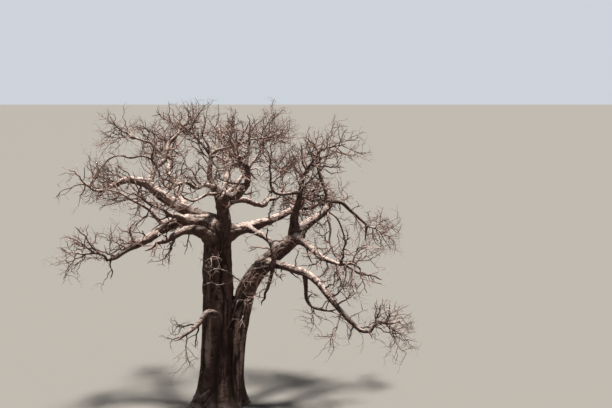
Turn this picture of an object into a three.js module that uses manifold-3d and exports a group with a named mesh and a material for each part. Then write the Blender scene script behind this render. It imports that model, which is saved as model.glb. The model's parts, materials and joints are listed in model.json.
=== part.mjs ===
// A baobab tree in its dry season: a fluted trunk, two stems, the main boughs and masses of bare
// twigs at the boughs' tips. Millimetres, +Z up. The origin is on the flat cut at ground level, in
// the middle of the main stem. +X runs to the right of the side the tree is seen from, +Y away.
import * as THREE from 'three';
import { mergeVertices } from 'three/addons/utils/BufferGeometryUtils.js';
import Module from 'manifold-3d';

const wasm = await Module();
wasm.setup();

// Driving sizes
const TREE_HEIGHT = 14000;
const M = TREE_HEIGHT / 14; // one metre of the surveyed tree
const CLEARANCE = 0.3; // between neighbouring pieces
const TINY = 0.01; // lengths of directions under this count as none
const SEAT_GAP = 0.32; // where a piece stands face to face on a tip, just clear of the cut
const FOOT_DEPTH = 0.3 * M; // how far the trunk is made below the ground before the flat cut
const RING_SPACING = 0.46 * M; // along a limb
const FEWEST_STEPS = 4; // between a limb's rings, however short it is
const COLLAR_SWELL = 0.4; // how much a limb's foot swells, as a share of its radius
const COLLAR_REACH = 0.9; // how far the collar fades out along the limb, as a share of its radius
const TRUNK_SIDES = 14;
const FLARE_REACH = 0.55 * M; // the height over which the root flare fades out
const FLARED_SPACING = 1.5; // brings the trunk's rings closer together towards the ground
const RIB_HEIGHT = 0.16; // of a root rib at the ground, as a share of the lobe's radius
const RIB_REACH = 1.1 * M; // the height over which the root ribs fade out
const ROUNDING = [0.5, 0.85]; // the rings of a free end's rounding, as shares of its radius
const NECK = 0.8; // a mass's stem runs on straight from its limb this far, as a share of its radius

const UP = new THREE.Vector3(0, 0, 1);
const BARK = { color: 0x8a6f66, roughness: 0.88, metalness: 0 };
const TWIG_BARK = { color: 0x94796f, roughness: 0.9, metalness: 0 };

// The trunk's lobes, fused into one body. Each is its place on the ground, radius at the ground and
// at the top, root flare, number and phase of its root ribs, and legs as [length, heading, climb].
// Headings turn left from +X and climbs rise from the level, both in degrees.
const LOBES = {
  lobe_west: [[-0.14, 0.0], [0.9, 0.7], 0.42, 5, 0.4, [[1.6, 10, 88], [1.7, 0, 88], [2.05, 0, 90]]],
  lobe_east: [[0.5, -0.08], [0.52, 0.44], 0.34, 4, 1.3, [[2.0, 0, 87], [1.7, 5, 83], [1.55, 0, 79]]],
  lobe_back: [[0.25, 0.6], [0.72, 0.4], 0.34, 4, 0.0, [[2.4, -110, 86], [2.6, -110, 83]]],
  lobe_front: [[0.12, -0.58], [0.4, 0.22], 0.3, 3, 2.2, [[2.4, 100, 88], [2.3, 95, 86]]],
};

// Each limb: the one it leaves, the share of that one's length where it leaves, its radius at foot
// and tip, its number of sides, and its legs. A parent stands above its limbs.
const LIMBS = {
  stem_west: ['lobe_west', 1, [0.7, 0.6], 12, [[1.6, -160, 89], [1.55, 0, 87]]],
  stem_east: ['lobe_east', 1, [0.44, 0.31], 10,
    [[0.65, 0, 72], [0.9, 0, 57], [0.9, 9, 44], [0.9, 8, 39], [0.65, 12, 42]]],
  west_high: ['stem_west', 0.97, [0.34, 0.19], 9,
    [[0.9, 172, 40], [0.85, 172, 28], [0.9, 166, 25], [0.65, 170, 32], [0.6, 168, 40], [0.5, 180, 18]]],
  west_crook: ['west_high', 1, [0.18, 0.08], 7,
    [[0.4, -165, 12], [0.5, -145, -12], [0.4, -148, -22], [0.45, -148, -20]]],
  west_rise: ['west_high', 0.88, [0.14, 0.085], 7,
    [[0.55, 73, 54], [0.5, 58, 47], [0.45, 47, 26], [0.55, 71, 54], [0.45, 80, 45], [0.55, 46, 40]]],
  west_hook: ['west_rise', 0.34, [0.09, 0.05], 6,
    [[0.4, 180, 60], [0.45, 0, 76], [0.3, -138, 62], [0.4, -164, 20]]],
  north_west: ['west_high', 0.42, [0.2, 0.09], 7,
    [[1.0, 118, 30], [1.1, 104, 18], [1.0, 122, 34], [0.9, 98, 20]]],
  west_low: ['stem_west', 0.93, [0.38, 0.22], 10,
    [[0.9, -155, 38], [0.65, -151, 13], [0.6, -151, 4], [0.5, -154, -17], [0.5, -151, -29]]],
  west_elbow: ['west_low', 1, [0.21, 0.07], 7,
    [[0.55, -142, -27], [0.55, -156, -25], [0.55, -158, -23], [0.45, -147, -31], [0.35, -142, -10]]],
  west_under: ['stem_west', 0.86, [0.3, 0.14], 8, [[1.35, -132, 25], [0.8, -129, 8], [0.6, -136, -18]]],
  west_fan: ['west_low', 0.86, [0.09, 0.05], 6,
    [[0.6, -154, 47], [0.45, -160, 51], [0.5, -166, 34], [0.4, -163, 29]]],
  south_west: ['west_low', 0.55, [0.13, 0.06], 6,
    [[0.9, -112, 24], [0.8, -100, 12], [0.8, -118, 30], [0.6, -104, 14]]],
  centre: ['stem_west', 0.9, [0.34, 0.18], 9,
    [[0.95, -22, 72], [0.6, 180, 82], [0.45, 144, 67], [0.5, 156, 60]]],
  centre_top: ['centre', 1, [0.13, 0.06], 7,
    [[0.4, 152, 62], [0.45, 92, 77], [0.5, 81, 67], [0.5, 130, 41], [0.55, 135, 35]]],
  top_east: ['centre_top', 0.56, [0.085, 0.045], 6,
    [[0.45, -34, 39], [0.55, -11, 16], [0.6, -10, 19], [0.55, -11, 20]]],
  top_mid: ['centre_top', 0.56, [0.07, 0.035], 6, [[0.65, -56, 6], [0.7, -51, -15], [0.7, -52, -12]]],
  north: ['centre', 0.3, [0.2, 0.1], 7, [[0.9, 86, 42], [1.1, 98, 34], [1.1, 84, 42], [1.0, 100, 30]]],
  north_east: ['north', 0.38, [0.12, 0.06], 6,
    [[0.9, 46, 34], [0.9, 66, 28], [0.8, 48, 42], [0.6, 62, 34]]],
  front_west: ['centre', 0.94, [0.11, 0.05], 6,
    [[0.85, -118, 16], [0.6, -120, -7], [0.8, -112, 22], [0.65, -116, 3], [0.65, -109, -10]]],
  front_twist: ['centre', 0.81, [0.075, 0.04], 6,
    [[0.8, -118, 8], [0.65, -115, -8], [0.65, -114, -4], [0.7, -113, 18]]],
  front_crook: ['centre', 0.65, [0.18, 0.12], 8,
    [[0.75, -54, 28], [0.8, -60, 7], [0.85, -66, 25], [0.75, -67, 30], [0.75, -82, 34]]],
  east_mid: ['centre', 0.57, [0.15, 0.06], 7,
    [[0.65, 41, 19], [0.65, 38, -1], [0.6, 34, -22], [0.5, 37, -10], [0.4, 60, 29], [0.5, 39, 6],
      [0.55, 60, 36], [0.6, 91, 47]]],
  east_low: ['stem_west', 0.92, [0.29, 0.14], 9,
    [[1.05, 17, 13], [0.8, 31, 9], [0.85, 37, 10], [0.75, 42, 12], [0.7, 50, 14]]],
  east_drop: ['east_low', 0.33, [0.15, 0.07], 7,
    [[0.8, -51, -9], [0.65, -49, -11], [0.55, -55, -26], [0.45, -65, -62], [0.55, -89, -79],
      [0.55, 180, -76], [0.5, 180, -75]]],
  spire: ['stem_east', 0.98, [0.22, 0.11], 7,
    [[0.65, -131, 78], [0.6, -47, 76], [0.5, 0, 75], [0.5, 20, 80]]],
  spire_west: ['spire', 0.93, [0.08, 0.045], 6,
    [[0.5, -143, 2], [0.5, -143, -1], [0.45, -139, 16], [0.5, -118, 49], [0.55, -87, 57]]],
  east_far: ['stem_east', 0.97, [0.25, 0.13], 9,
    [[0.6, 52, 34], [0.65, 44, 24], [0.6, 43, 21], [0.6, 50, 27], [0.4, 54, 48]]],
  east_high: ['east_far', 0.97, [0.11, 0.065], 7,
    [[0.6, 140, 66], [0.5, 152, 65], [0.5, 145, 70], [0.45, 133, 72]]],
  east_edge: ['east_far', 1, [0.1, 0.05], 7,
    [[0.55, 23, -8], [0.65, 37, -37], [0.65, 24, -41], [0.7, 22, -41]]],
  east_hang: ['east_far', 0.86, [0.07, 0.035], 6,
    [[0.65, -84, -45], [0.5, -66, -64], [0.55, -104, -69], [0.45, -56, -58]]],
  east_fall: ['stem_east', 0.96, [0.2, 0.09], 7,
    [[0.8, -65, -2], [0.85, -58, -15], [0.95, -62, -12], [0.75, -56, -4]]],
  arch: ['stem_east', 0.51, [0.2, 0.13], 8,
    [[1.2, -49, 6], [0.85, -46, -3], [0.75, -41, -8], [0.75, -47, -22], [0.75, -53, -32]]],
  arch_tip: ['arch', 1, [0.125, 0.075], 7,
    [[0.65, -36, -41], [0.75, -31, -40], [0.65, -22, -36], [0.3, -10, -3]]],
  prop: ['arch', 0.62, [0.1, 0.05], 6,
    [[0.6, -60, -86], [0.55, -30, -85], [0.35, -25, -50], [0.5, -12, -17], [0.35, -16, -3]]],
  stub: ['lobe_front', 0.98, [0.17, 0.07], 6,
    [[0.95, -124, 20], [0.6, -128, -34], [0.6, -131, -25], [0.35, -140, -21]]],
};

// Each mass of twigs: the limb whose tip its stem meets, how far its twigs may spread round its
// heart, the stem's radius at foot, a seed, how strongly its twigs turn upwards, and the stem's legs.
const MASSES = {
  twigs_west_crook: ['west_crook', 1.8, 0.075, 11, 0.1,
    [[0.35, 175, 10], [0.35, 160, 30], [0.35, 176, 14]]],
  twigs_west_rise: ['west_rise', 1.65, 0.08, 12, -0.05, [[0.4, 80, 24], [0.5, 110, 8], [0.5, 80, 15]]],
  twigs_west_hook: ['west_hook', 1.8, 0.05, 13, 0.05, [[0.5, 170, 20], [0.5, 150, 22], [0.5, 180, 18]]],
  twigs_north_west: ['north_west', 2.3, 0.085, 14, 0.15, [[0.6, 125, 35], [0.6, 145, 30], [0.6, 120, 45]]],
  twigs_west_reach: ['west_elbow', 1.6, 0.065, 15, 0.05,
    [[0.3, -134, 55], [0.4, -166, 15], [0.4, -168, -3], [0.4, -172, 8]]],
  twigs_west_fan: ['west_fan', 1.9, 0.048, 17, 0.1, [[0.5, -165, 35], [0.5, -150, 20], [0.5, -175, 30]]],
  twigs_south_west: ['south_west', 2.2, 0.058, 18, 0.12,
    [[0.5, -120, 30], [0.6, -100, 25], [0.5, -130, 30]]],
  twigs_centre_top: ['centre_top', 1.8, 0.06, 19, 0.05, [[0.4, 150, 40], [0.4, 200, 35], [0.4, 160, 35]]],
  twigs_top_east: ['top_east', 1.9, 0.045, 20, 0.0, [[0.4, -5, 6], [0.5, 20, 4], [0.4, -10, 2]]],
  twigs_top_mid: ['top_mid', 1.7, 0.035, 21, 0.12, [[0.4, -60, 20], [0.4, -30, 45], [0.4, -70, 45]]],
  twigs_north: ['north', 2.3, 0.095, 22, 0.15, [[0.6, 105, 40], [0.6, 80, 35], [0.6, 110, 45]]],
  twigs_north_east: ['north_east', 2.2, 0.055, 24, 0.12, [[0.5, 60, 40], [0.6, 80, 35], [0.5, 50, 35]]],
  twigs_front_west: ['front_west', 2.1, 0.048, 23, 0.12,
    [[0.5, -115, 20], [0.5, -90, 40], [0.5, -110, 40]]],
  twigs_front_crook: ['front_crook', 2.3, 0.11, 25, 0.12,
    [[0.5, -90, 40], [0.6, -115, 25], [0.6, -90, 30]]],
  twigs_east_mid: ['east_mid', 2.1, 0.058, 26, 0.15, [[0.5, 100, 50], [0.6, 120, 35], [0.6, 100, 45]]],
  twigs_east_low: ['east_low', 2.2, 0.13, 27, 0.05, [[0.6, 50, 15], [0.6, 70, 22], [0.6, 55, 20]]],
  twigs_spire: ['spire', 2.0, 0.1, 28, 0.15, [[0.5, 10, 75], [0.5, -40, 60], [0.5, 10, 55]]],
  twigs_spire_west: ['spire_west', 2.0, 0.045, 29, 0.12,
    [[0.4, -100, 50], [0.5, -80, 40], [0.4, -110, 50]]],
  twigs_east_crest: ['east_high', 2.1, 0.065, 30, 0.06,
    [[0.3, 80, 75], [0.4, -28, 40], [0.5, -12, 17], [0.6, -11, 12]]],
  twigs_east_edge: ['east_edge', 1.6, 0.048, 31, 0.0, [[0.35, 0, -15], [0.35, -30, -25], [0.35, 10, -5]]],
  twigs_east_hang: ['east_hang', 1.7, 0.034, 32, -0.1, [[0.3, -60, -45], [0.4, -20, -30], [0.4, -60, -20]]],
  twigs_east_fall: ['east_fall', 2.2, 0.085, 33, -0.1, [[0.5, -55, 0], [0.6, -35, 10], [0.6, -60, -10]]],
  twigs_arch: ['arch_tip', 1.5, 0.07, 34, 0.05,
    [[0.3, 10, 55], [0.25, 0, 40], [0.45, -12, -8], [0.45, -5, 18]]],
};

// The rule by which a twig bears finer ones: one number for each level, from the stem outwards.
const RULE = {
  bends: [0, 3, 2], // straight runs in a twig; the stem has its own legs
  shoots: [12, 9, 0], // places for side shoots on a twig
  length: [0, 1.75 * M, 1.05 * M], // of a twig before its own variation
  leastLength: 0.75, // a twig's own variation: its length is at least this share, and at most
  lengthPlay: 0.5, // more by this one
  lowerLength: 1.15, // shoots low down a twig are longer by this share, and each further up
  lengthFall: 0.4, // is shorter by this one
  wander: [0, 0.42, 0.55], // how far each bend strays
  outward: [0, 0.16, 0.2], // how strongly it turns away from the mass's foot
  firstShoot: 0.12, // the shares of a twig's length between which its shoots leave
  lastShoot: 0.94,
  shortened: 0.6, // the share of its length that a twig has where the whole doesn't fit
  taper: 0.45, // radius at the tip, as a share of that at the foot
  radiusShare: 0.62, // of a shoot, against the twig it leaves
  bornEvery: 3, // of a twig's places for shoots, one in so many bears one
};
const TWIG_SIDES = 3;
const GOLDEN_ANGLE = 137.5;
const AROUND_PLAY = 50; // degrees that a shoot may stand off its place round the twig
const LEAVING = [42, 74]; // degrees between a shoot and the twig that bears it
const SPACE_MARGIN = 0.03 * M; // kept to the border of a neighbour's space
const LIMB_MARGIN = 0.03 * M; // kept to any limb
const SAMPLE_SPACING = 0.09 * M; // between the points of a limb that twigs are kept clear of
const SEED_RANGE = 2147483647;

const radians = THREE.MathUtils.degToRad;

/** From 1 at no distance down towards 0 past the reach. */
function fade(distance, reach) {
  return Math.exp(-Math.max(0, distance) / reach);
}

/** Numbers from 0 to 1 that are the same on every run. */
function seeded(seed) {
  let state = seed;
  const next = () => {
    state = (state * 16807) % SEED_RANGE;
    return state / SEED_RANGE;
  };
  next();
  next();
  return next;
}

/** The seed of a twig's shoot. */
function seedOf(parentSeed, index) {
  return ((parentSeed * 7919 + (index + 1) * 104729) % SEED_RANGE) + 1;
}

/** The unit vector of a heading and a climb. */
function bearing(heading, climb) {
  const [h, c] = [radians(heading), radians(climb)];
  return new THREE.Vector3(Math.cos(h) * Math.cos(c), Math.sin(h) * Math.cos(c), Math.sin(c));
}

/** The points that legs lead through from a start. */
function walk(start, legs) {
  const points = [start.clone()];
  for (const [length, heading, climb] of legs) {
    points.push(points.at(-1).clone().addScaledVector(bearing(heading, climb), length * M));
  }
  return points;
}

/** Any unit vector square to a direction. */
function squareTo(direction) {
  const side = new THREE.Vector3().crossVectors(direction, UP);
  return side.length() < TINY ? new THREE.Vector3(1, 0, 0) : side.normalize();
}

/** One direction square to the tube for each station, with no twist between them. */
function carriedNormals(stations) {
  let normal = squareTo(stations[0].along);
  return stations.map(({ along }) => {
    normal = normal.clone().addScaledVector(along, -normal.dot(along)).normalize();
    return normal;
  });
}

/**
 * A closed tube: a cylinder led through stations {at, along, radius}, where along is the way the tube
 * runs and a radius is a length or a function of the angle round it. A pointed tube ends in a point.
 */
function tube(stations, sides, pointed = false) {
  const steps = stations.length - 1;
  const geometry = new THREE.CylinderGeometry(pointed ? 0 : 1, 1, steps, sides, steps);
  const place = geometry.getAttribute('position');
  const normals = carriedNormals(stations);
  for (let i = 0; i < place.count; i += 1) {
    const [x, y, z] = [place.getX(i), place.getY(i), place.getZ(i)];
    const step = Math.round(y + steps / 2);
    const { at, along, radius } = stations[step];
    const across = new THREE.Vector3().crossVectors(normals[step], along);
    const side = normals[step].clone().multiplyScalar(x).addScaledVector(across, z).normalize();
    const isRim = Math.hypot(x, z) > TINY && !(pointed && step === steps);
    const reach = typeof radius === 'function' ? radius(Math.atan2(z, x)) : radius;
    place.setXYZ(i, ...at.clone().addScaledVector(side, isRim ? reach : 0));
  }
  return geometry;
}

/** A geometry as a solid that can be joined and cut. */
function solidOf(geometry) {
  const bare = new THREE.BufferGeometry().setAttribute('position', geometry.getAttribute('position'));
  const merged = mergeVertices(bare.setIndex(geometry.getIndex()));
  return new wasm.Manifold(
    new wasm.Mesh({
      numProp: 3,
      vertProperties: new Float32Array(merged.getAttribute('position').array),
      triVerts: new Uint32Array(merged.getIndex().array),
    }),
  );
}

/** A lobe of the trunk or a limb: a smooth line through its legs, with a radius all along it. */
class Limb {
  constructor(start, radii, sides, legs, details) {
    const plain = { flare: 0, ribs: 0, phase: 0, buried: 0, seat: null, free: false };
    Object.assign(this, { sides, ...plain, ...details });
    this.radii = radii.map((r) => r * M);
    this.curve = new THREE.CatmullRomCurve3(walk(start, legs), false, 'centripetal');
    this.length = this.curve.getLength();
    this.steps = Math.max(FEWEST_STEPS, Math.round(this.length / RING_SPACING));
  }

  pointAt(share) {
    return this.curve.getPointAt(share);
  }

  /** The way the limb runs. One that stands on a tip starts square to that tip. */
  directionAt(share) {
    return share === 0 && this.seat ? this.seat.clone() : this.curve.getTangentAt(share);
  }

  /** The radius without root ribs, with the collar where a limb leaves its parent's bark. */
  radiusAt(share) {
    const [foot, tip] = this.radii;
    const outside = share * this.length - this.buried;
    const collar = this.buried ? COLLAR_SWELL * foot * fade(outside, COLLAR_REACH * foot) : 0;
    const flare = this.flare * M * fade(this.pointAt(share).z, FLARE_REACH);
    return foot + (tip - foot) * share + collar + flare;
  }

  /** The places, directions and radii of the rings, grown all round by swell. */
  stations(swell) {
    const grown = swell / Math.cos(Math.PI / this.sides);
    const rings = Array.from({ length: this.steps + 1 }, (_, i) => {
      const share = (i / this.steps) ** (this.flare ? FLARED_SPACING : 1);
      const along = this.directionAt(share);
      const pushed = (i === this.steps ? swell : 0) - (i === 0 ? swell : 0);
      const at = this.pointAt(share).addScaledVector(along, pushed);
      const radius = this.radiusAt(share) + grown;
      const rib = this.ribs ? RIB_HEIGHT * fade(at.z, RIB_REACH) : 0;
      const ribbed = (angle) => radius * (1 + rib * Math.cos(this.ribs * angle + this.phase));
      return { at, along, radius: ribbed };
    });
    const { at: tip, along } = rings.at(-1);
    const tipRadius = this.radii[1] + grown;
    for (const share of this.free ? ROUNDING : []) {
      const at = tip.clone().addScaledVector(along, share * tipRadius);
      rings.push({ at, along, radius: tipRadius * Math.sqrt(1 - share * share) });
    }
    return rings;
  }

  solid(swell = 0) {
    return solidOf(tube(this.stations(swell), this.sides));
  }
}

/** The largest of a solid's separate bodies. */
function mainBody(solid) {
  return solid.decompose().reduce((best, body) => (body.volume() > best.volume() ? body : best));
}

/** Whether two solids' boxes meet. */
function boxesMeet(a, b) {
  const [p, q] = [a.boundingBox(), b.boundingBox()];
  return [0, 1, 2].every((i) => p.min[i] <= q.max[i] && q.min[i] <= p.max[i]);
}

/** The trunk's fused lobes, cut flat at the ground. */
function makeTrunk(lobes, swell = 0) {
  const fused = lobes.map((lobe) => lobe.solid(swell)).reduce((all, one) => all.add(one));
  return fused.trimByPlane([0, 0, 1], -swell);
}

/** The limbs that another limb or a mass grows on from, at the very tip. */
const continued = new Set([
  ...Object.values(LIMBS).filter(([, share]) => share === 1).map(([parentName]) => parentName),
  ...Object.values(MASSES).map(([limbName]) => limbName),
]);

/** Every limb in its place, by name. */
function placeLimbs(lobes) {
  const placed = { ...lobes };
  for (const [name, [parentName, share, radii, sides, legs]] of Object.entries(LIMBS)) {
    const parent = placed[parentName];
    const seat = share === 1 ? parent.directionAt(1) : null;
    const start = parent.pointAt(share);
    if (seat) start.addScaledVector(seat, SEAT_GAP);
    const buried = seat ? 0 : parent.radiusAt(share);
    placed[name] = new Limb(start, radii, sides, legs, { buried, seat, free: !continued.has(name) });
  }
  return placed;
}

/** The solids of the limbs, each cut clear of those made before it. */
function makeLimbs(limbs, trunkShell) {
  const made = {};
  const shells = [trunkShell];
  for (const name of Object.keys(LIMBS)) {
    let solid = limbs[name].solid();
    for (const shell of shells.filter((one) => boxesMeet(one, solid))) solid = solid.subtract(shell);
    made[name] = mainBody(solid);
    shells.push(limbs[name].solid(CLEARANCE));
  }
  return made;
}

/** Points along all the limbs, with the radius there, for keeping twigs clear of them. */
function limbSamples(limbs) {
  return Object.values(limbs).flatMap((limb) => {
    const count = Math.ceil(limb.length / SAMPLE_SPACING);
    return Array.from({ length: count + 1 }, (_, i) => {
      return { at: limb.pointAt(i / count), radius: limb.radiusAt(i / count) };
    });
  });
}

/** A mass of bare twigs: a stem that meets its limb's tip, and what branches from it by the rule. */
class TwigMass {
  constructor(limb, spread, footRadius, seed, lift, legs) {
    Object.assign(this, { spread: spread * M, footRadius: footRadius * M, seed, lift });
    const direction = limb.directionAt(1);
    this.foot = limb.pointAt(1).addScaledVector(direction, SEAT_GAP);
    const neck = this.foot.clone().addScaledVector(direction, NECK * this.footRadius);
    this.stem = [this.foot, ...walk(neck, legs)];
    this.heart = neck.clone().add(this.stem.at(-1)).multiplyScalar(0.5);
  }

  /** Whether a twig keeps to this mass's own space and clear of the limbs. */
  fits(points, radius, hearts, samples) {
    return points.every((p, i) => {
      const own = p.distanceTo(this.heart);
      if (own > this.spread - radius) return false;
      const clearOfOthers = hearts.every((heart) => {
        if (heart === this.heart) return true;
        const gap = (p.distanceToSquared(heart) - own * own) / (2 * heart.distanceTo(this.heart));
        return gap > SPACE_MARGIN + radius;
      });
      if (!clearOfOthers || p.z < SPACE_MARGIN) return false;
      const middle = i ? p.clone().lerp(points[i - 1], 0.5) : p;
      return samples.every(({ at, radius: limbRadius }) => {
        const room = limbRadius + radius + LIMB_MARGIN;
        return at.distanceTo(middle) > room && (i === 0 || at.distanceTo(p) > room);
      });
    });
  }

  /** The shoots that one twig bears, and all that they bear. */
  bear(twig, level, seed, hearts, samples) {
    const count = RULE.shoots[level];
    const borne = [];
    for (let i = RULE.bornEvery - 1; i < count; i += RULE.bornEvery) {
      const childSeed = seedOf(seed, i);
      const draw = seeded(childSeed);
      const share = RULE.firstShoot + ((RULE.lastShoot - RULE.firstShoot) * (i + 1)) / count;
      const reach = share * (twig.points.length - 1);
      const run = Math.min(Math.floor(reach), twig.points.length - 2);
      const [from, to] = [twig.points[run], twig.points[run + 1]];
      const start = from.clone().lerp(to, reach - run);
      const along = new THREE.Vector3().subVectors(to, from).normalize();
      const around = radians(i * GOLDEN_ANGLE + AROUND_PLAY * draw());
      const leaving = radians(LEAVING[0] + (LEAVING[1] - LEAVING[0]) * draw());
      const side = squareTo(along).applyAxisAngle(along, around);
      const direction = along.multiplyScalar(Math.cos(leaving)).addScaledVector(side, Math.sin(leaving));
      const variation = RULE.leastLength + RULE.lengthPlay * draw();
      const place = RULE.lowerLength - RULE.lengthFall * share;
      const length = RULE.length[level + 1] * variation * place;
      const radius = twig.radius * (1 - (1 - RULE.taper) * share) * RULE.radiusShare;
      const shoot = { start, direction, length, radius, seed: childSeed, draw };
      borne.push(...this.grow(shoot, level + 1, hearts, samples));
    }
    return borne;
  }

  /** The points of a twig, which wanders, turns upwards by the mass's lift and away from its foot. */
  route(start, direction, length, strays, level) {
    const points = [start];
    const heading = direction.clone();
    for (const stray of strays) {
      const outward = points.at(-1).clone().sub(this.foot).normalize();
      heading.addScaledVector(stray, 2 * RULE.wander[level]).addScaledVector(UP, this.lift);
      heading.addScaledVector(outward, RULE.outward[level]).normalize();
      points.push(points.at(-1).clone().addScaledVector(heading, length / strays.length));
    }
    return points;
  }

  /** One twig and all that it bears, shortened where it would leave its space, or nothing. */
  grow({ start, direction, length, radius, seed, draw }, level, hearts, samples) {
    const strays = Array.from({ length: RULE.bends[level] }, () => {
      return new THREE.Vector3(draw() - 0.5, draw() - 0.5, draw() - 0.5);
    });
    const fitting = [1, RULE.shortened]
      .map((share) => this.route(start, direction, length * share, strays, level))
      .find((points) => this.fits(points.slice(1), radius, hearts, samples));
    if (!fitting) return [];
    const twig = { points: fitting, radius };
    return [twig, ...this.bear(twig, level, seed, hearts, samples)];
  }

  /** The solid: stem and twigs fused, each twig's foot sunk to the middle of the one it leaves. */
  solid(hearts, samples) {
    const stem = { points: this.stem.slice(1), radius: this.footRadius };
    const twigs = this.bear(stem, 0, this.seed, hearts, samples);
    const tubes = [{ points: this.stem, radius: this.footRadius }, ...twigs].map(({ points, radius }) => {
      const last = points.length - 1;
      const stations = points.map((at, i) => {
        const [before, after] = [points[Math.max(i - 1, 0)], points[Math.min(i + 1, last)]];
        const along = new THREE.Vector3().subVectors(after, before).normalize();
        return { at, along, radius: radius * (1 - ((1 - RULE.taper) * i) / last) };
      });
      return solidOf(tube(stations, TWIG_SIDES, true));
    });
    return mainBody(wasm.Manifold.union(tubes));
  }
}

/** A named mesh of a solid. */
function meshOf(name, solid, finish) {
  const { vertProperties, triVerts } = solid.getMesh();
  const geometry = new THREE.BufferGeometry();
  geometry.setAttribute('position', new THREE.BufferAttribute(vertProperties, 3));
  geometry.setIndex(new THREE.BufferAttribute(triVerts, 1));
  geometry.computeVertexNormals();
  const mesh = new THREE.Mesh(geometry, new THREE.MeshStandardMaterial(finish));
  mesh.name = name;
  return mesh;
}

const lobes = Object.fromEntries(
  Object.entries(LOBES).map(([name, [[x, y], radii, flare, ribs, phase, legs]]) => {
    const start = new THREE.Vector3(x * M, y * M, -FOOT_DEPTH);
    const details = { flare, ribs, phase, free: !continued.has(name) };
    return [name, new Limb(start, radii, TRUNK_SIDES, legs, details)];
  }),
);
const limbs = placeLimbs(lobes);
const limbSolids = makeLimbs(limbs, makeTrunk(Object.values(lobes), CLEARANCE));
const samples = limbSamples(limbs);
const masses = Object.entries(MASSES).map(([name, [limbName, ...sizes]]) => {
  return [name, new TwigMass(limbs[limbName], ...sizes)];
});
const hearts = masses.map(([, mass]) => mass.heart);

const tree = new THREE.Group();
tree.add(meshOf('trunk', makeTrunk(Object.values(lobes)), BARK));
for (const [name, solid] of Object.entries(limbSolids)) tree.add(meshOf(name, solid, BARK));
for (const [name, mass] of masses) tree.add(meshOf(name, mass.solid(hearts, samples), TWIG_BARK));

export default tree;
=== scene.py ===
"""A baobab tree in its dry season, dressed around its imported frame.

The trunk and its stems share one folded skin of bark, each bough is a knotty tube led along its
own line, and the masses of twigs grow on from the boughs by one seeded rule. Sizes are in metres
and angles in degrees. +Z is up, +X runs to the right of the side the tree is seen from and +Y away
from it, and the origin is on the flat cut at ground level.
"""

import itertools
import json
import logging
import math
from dataclasses import dataclass, field, fields
from enum import Enum
from typing import Self

import bpy
import numpy as np
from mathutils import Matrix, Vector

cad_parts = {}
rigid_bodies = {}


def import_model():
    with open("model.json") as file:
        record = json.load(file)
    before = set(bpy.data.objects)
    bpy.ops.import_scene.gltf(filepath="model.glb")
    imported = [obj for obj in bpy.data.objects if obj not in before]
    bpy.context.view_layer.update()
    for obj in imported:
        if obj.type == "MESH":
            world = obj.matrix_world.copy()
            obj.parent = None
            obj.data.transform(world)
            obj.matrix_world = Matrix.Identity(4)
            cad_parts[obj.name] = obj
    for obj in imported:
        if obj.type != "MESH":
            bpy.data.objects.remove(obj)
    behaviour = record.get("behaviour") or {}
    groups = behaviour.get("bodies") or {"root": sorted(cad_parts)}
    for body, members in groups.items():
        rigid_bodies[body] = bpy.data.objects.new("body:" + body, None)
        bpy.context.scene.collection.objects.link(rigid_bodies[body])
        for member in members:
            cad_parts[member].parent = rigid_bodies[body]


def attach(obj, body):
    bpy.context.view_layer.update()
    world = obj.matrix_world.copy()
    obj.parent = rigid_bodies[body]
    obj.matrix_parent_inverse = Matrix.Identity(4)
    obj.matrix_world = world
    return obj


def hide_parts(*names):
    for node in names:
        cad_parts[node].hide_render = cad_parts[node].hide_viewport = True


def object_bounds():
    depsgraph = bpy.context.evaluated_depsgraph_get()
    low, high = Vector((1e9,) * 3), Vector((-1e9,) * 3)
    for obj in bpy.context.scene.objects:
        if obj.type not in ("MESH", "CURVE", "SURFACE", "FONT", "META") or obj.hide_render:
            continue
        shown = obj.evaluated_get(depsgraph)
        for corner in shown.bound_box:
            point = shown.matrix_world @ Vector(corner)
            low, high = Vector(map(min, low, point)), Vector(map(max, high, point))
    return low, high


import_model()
cad_box = [list(corner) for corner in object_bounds()]

Array = np.ndarray
Legs = tuple[tuple[float, float, float], ...]  # the length, heading and climb of each, as walk reads them
Colour = tuple[float, float, float]
Span = tuple[float, float]
Socket = bpy.types.NodeSocket
Inputs = dict[str | int, object]

LOG = logging.getLogger("baobab")
UP = np.array([0.0, 0.0, 1.0])
TINY = 1e-9
UPRIGHT = 0.01  # a direction whose level part is shorter than this share of it counts as upright
SEAT_GAP = 0.00032  # between a limb's tip and what stands on it
FOOT_DEPTH = 0.3  # how far the lobes are made below the ground before the flat cut
COLLAR_SWELL = 0.4  # how much a limb's foot swells, as a share of its radius
COLLAR_REACH = 0.9  # how far the collar fades out along the limb, as a share of its radius
FLARE_REACH = 0.55  # the height over which the root flare fades out
RIB_HEIGHT = 0.16  # of a root rib at the ground, as a share of the lobe's radius
RIB_REACH = 1.1  # the height over which the root ribs fade out
NECK = 0.8  # a mass's stem runs on straight from its limb this far, as a share of its radius
SAMPLE_SPACING = 0.09  # between the points of a limb that twigs are kept clear of
MARGIN = 0.03  # kept to any limb, to the ground and to the border of a neighbour's space
FULLNESS = 0.7  # the share of a twig's places that bear a shoot, on spurs and on the fullest masses
SEED_RANGE = 2147483647
SEED_FACTOR = 16807  # from one draw to the next
KNOT_SEEDS = 1000  # added to a limb's seed for its knots
BOUGH_SEEDS = 20  # the first bough's seed
KIND_SEEDS = 10007  # between two kinds of spurs
SPUR_SEEDS = 31  # between two spurs of a kind
MIX_INPUTS = (0, 6, 7)  # a Mix node's sockets for its share and its two colours
MIX_OUTPUT = 2
TRUNK_STEMS = ("stem_west", "stem_east")  # the limbs that the trunk's skin takes in


class Slot(Enum):
    """The record's material slots."""

    BARK = "bark"
    TWIGS = "twigs"


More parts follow.
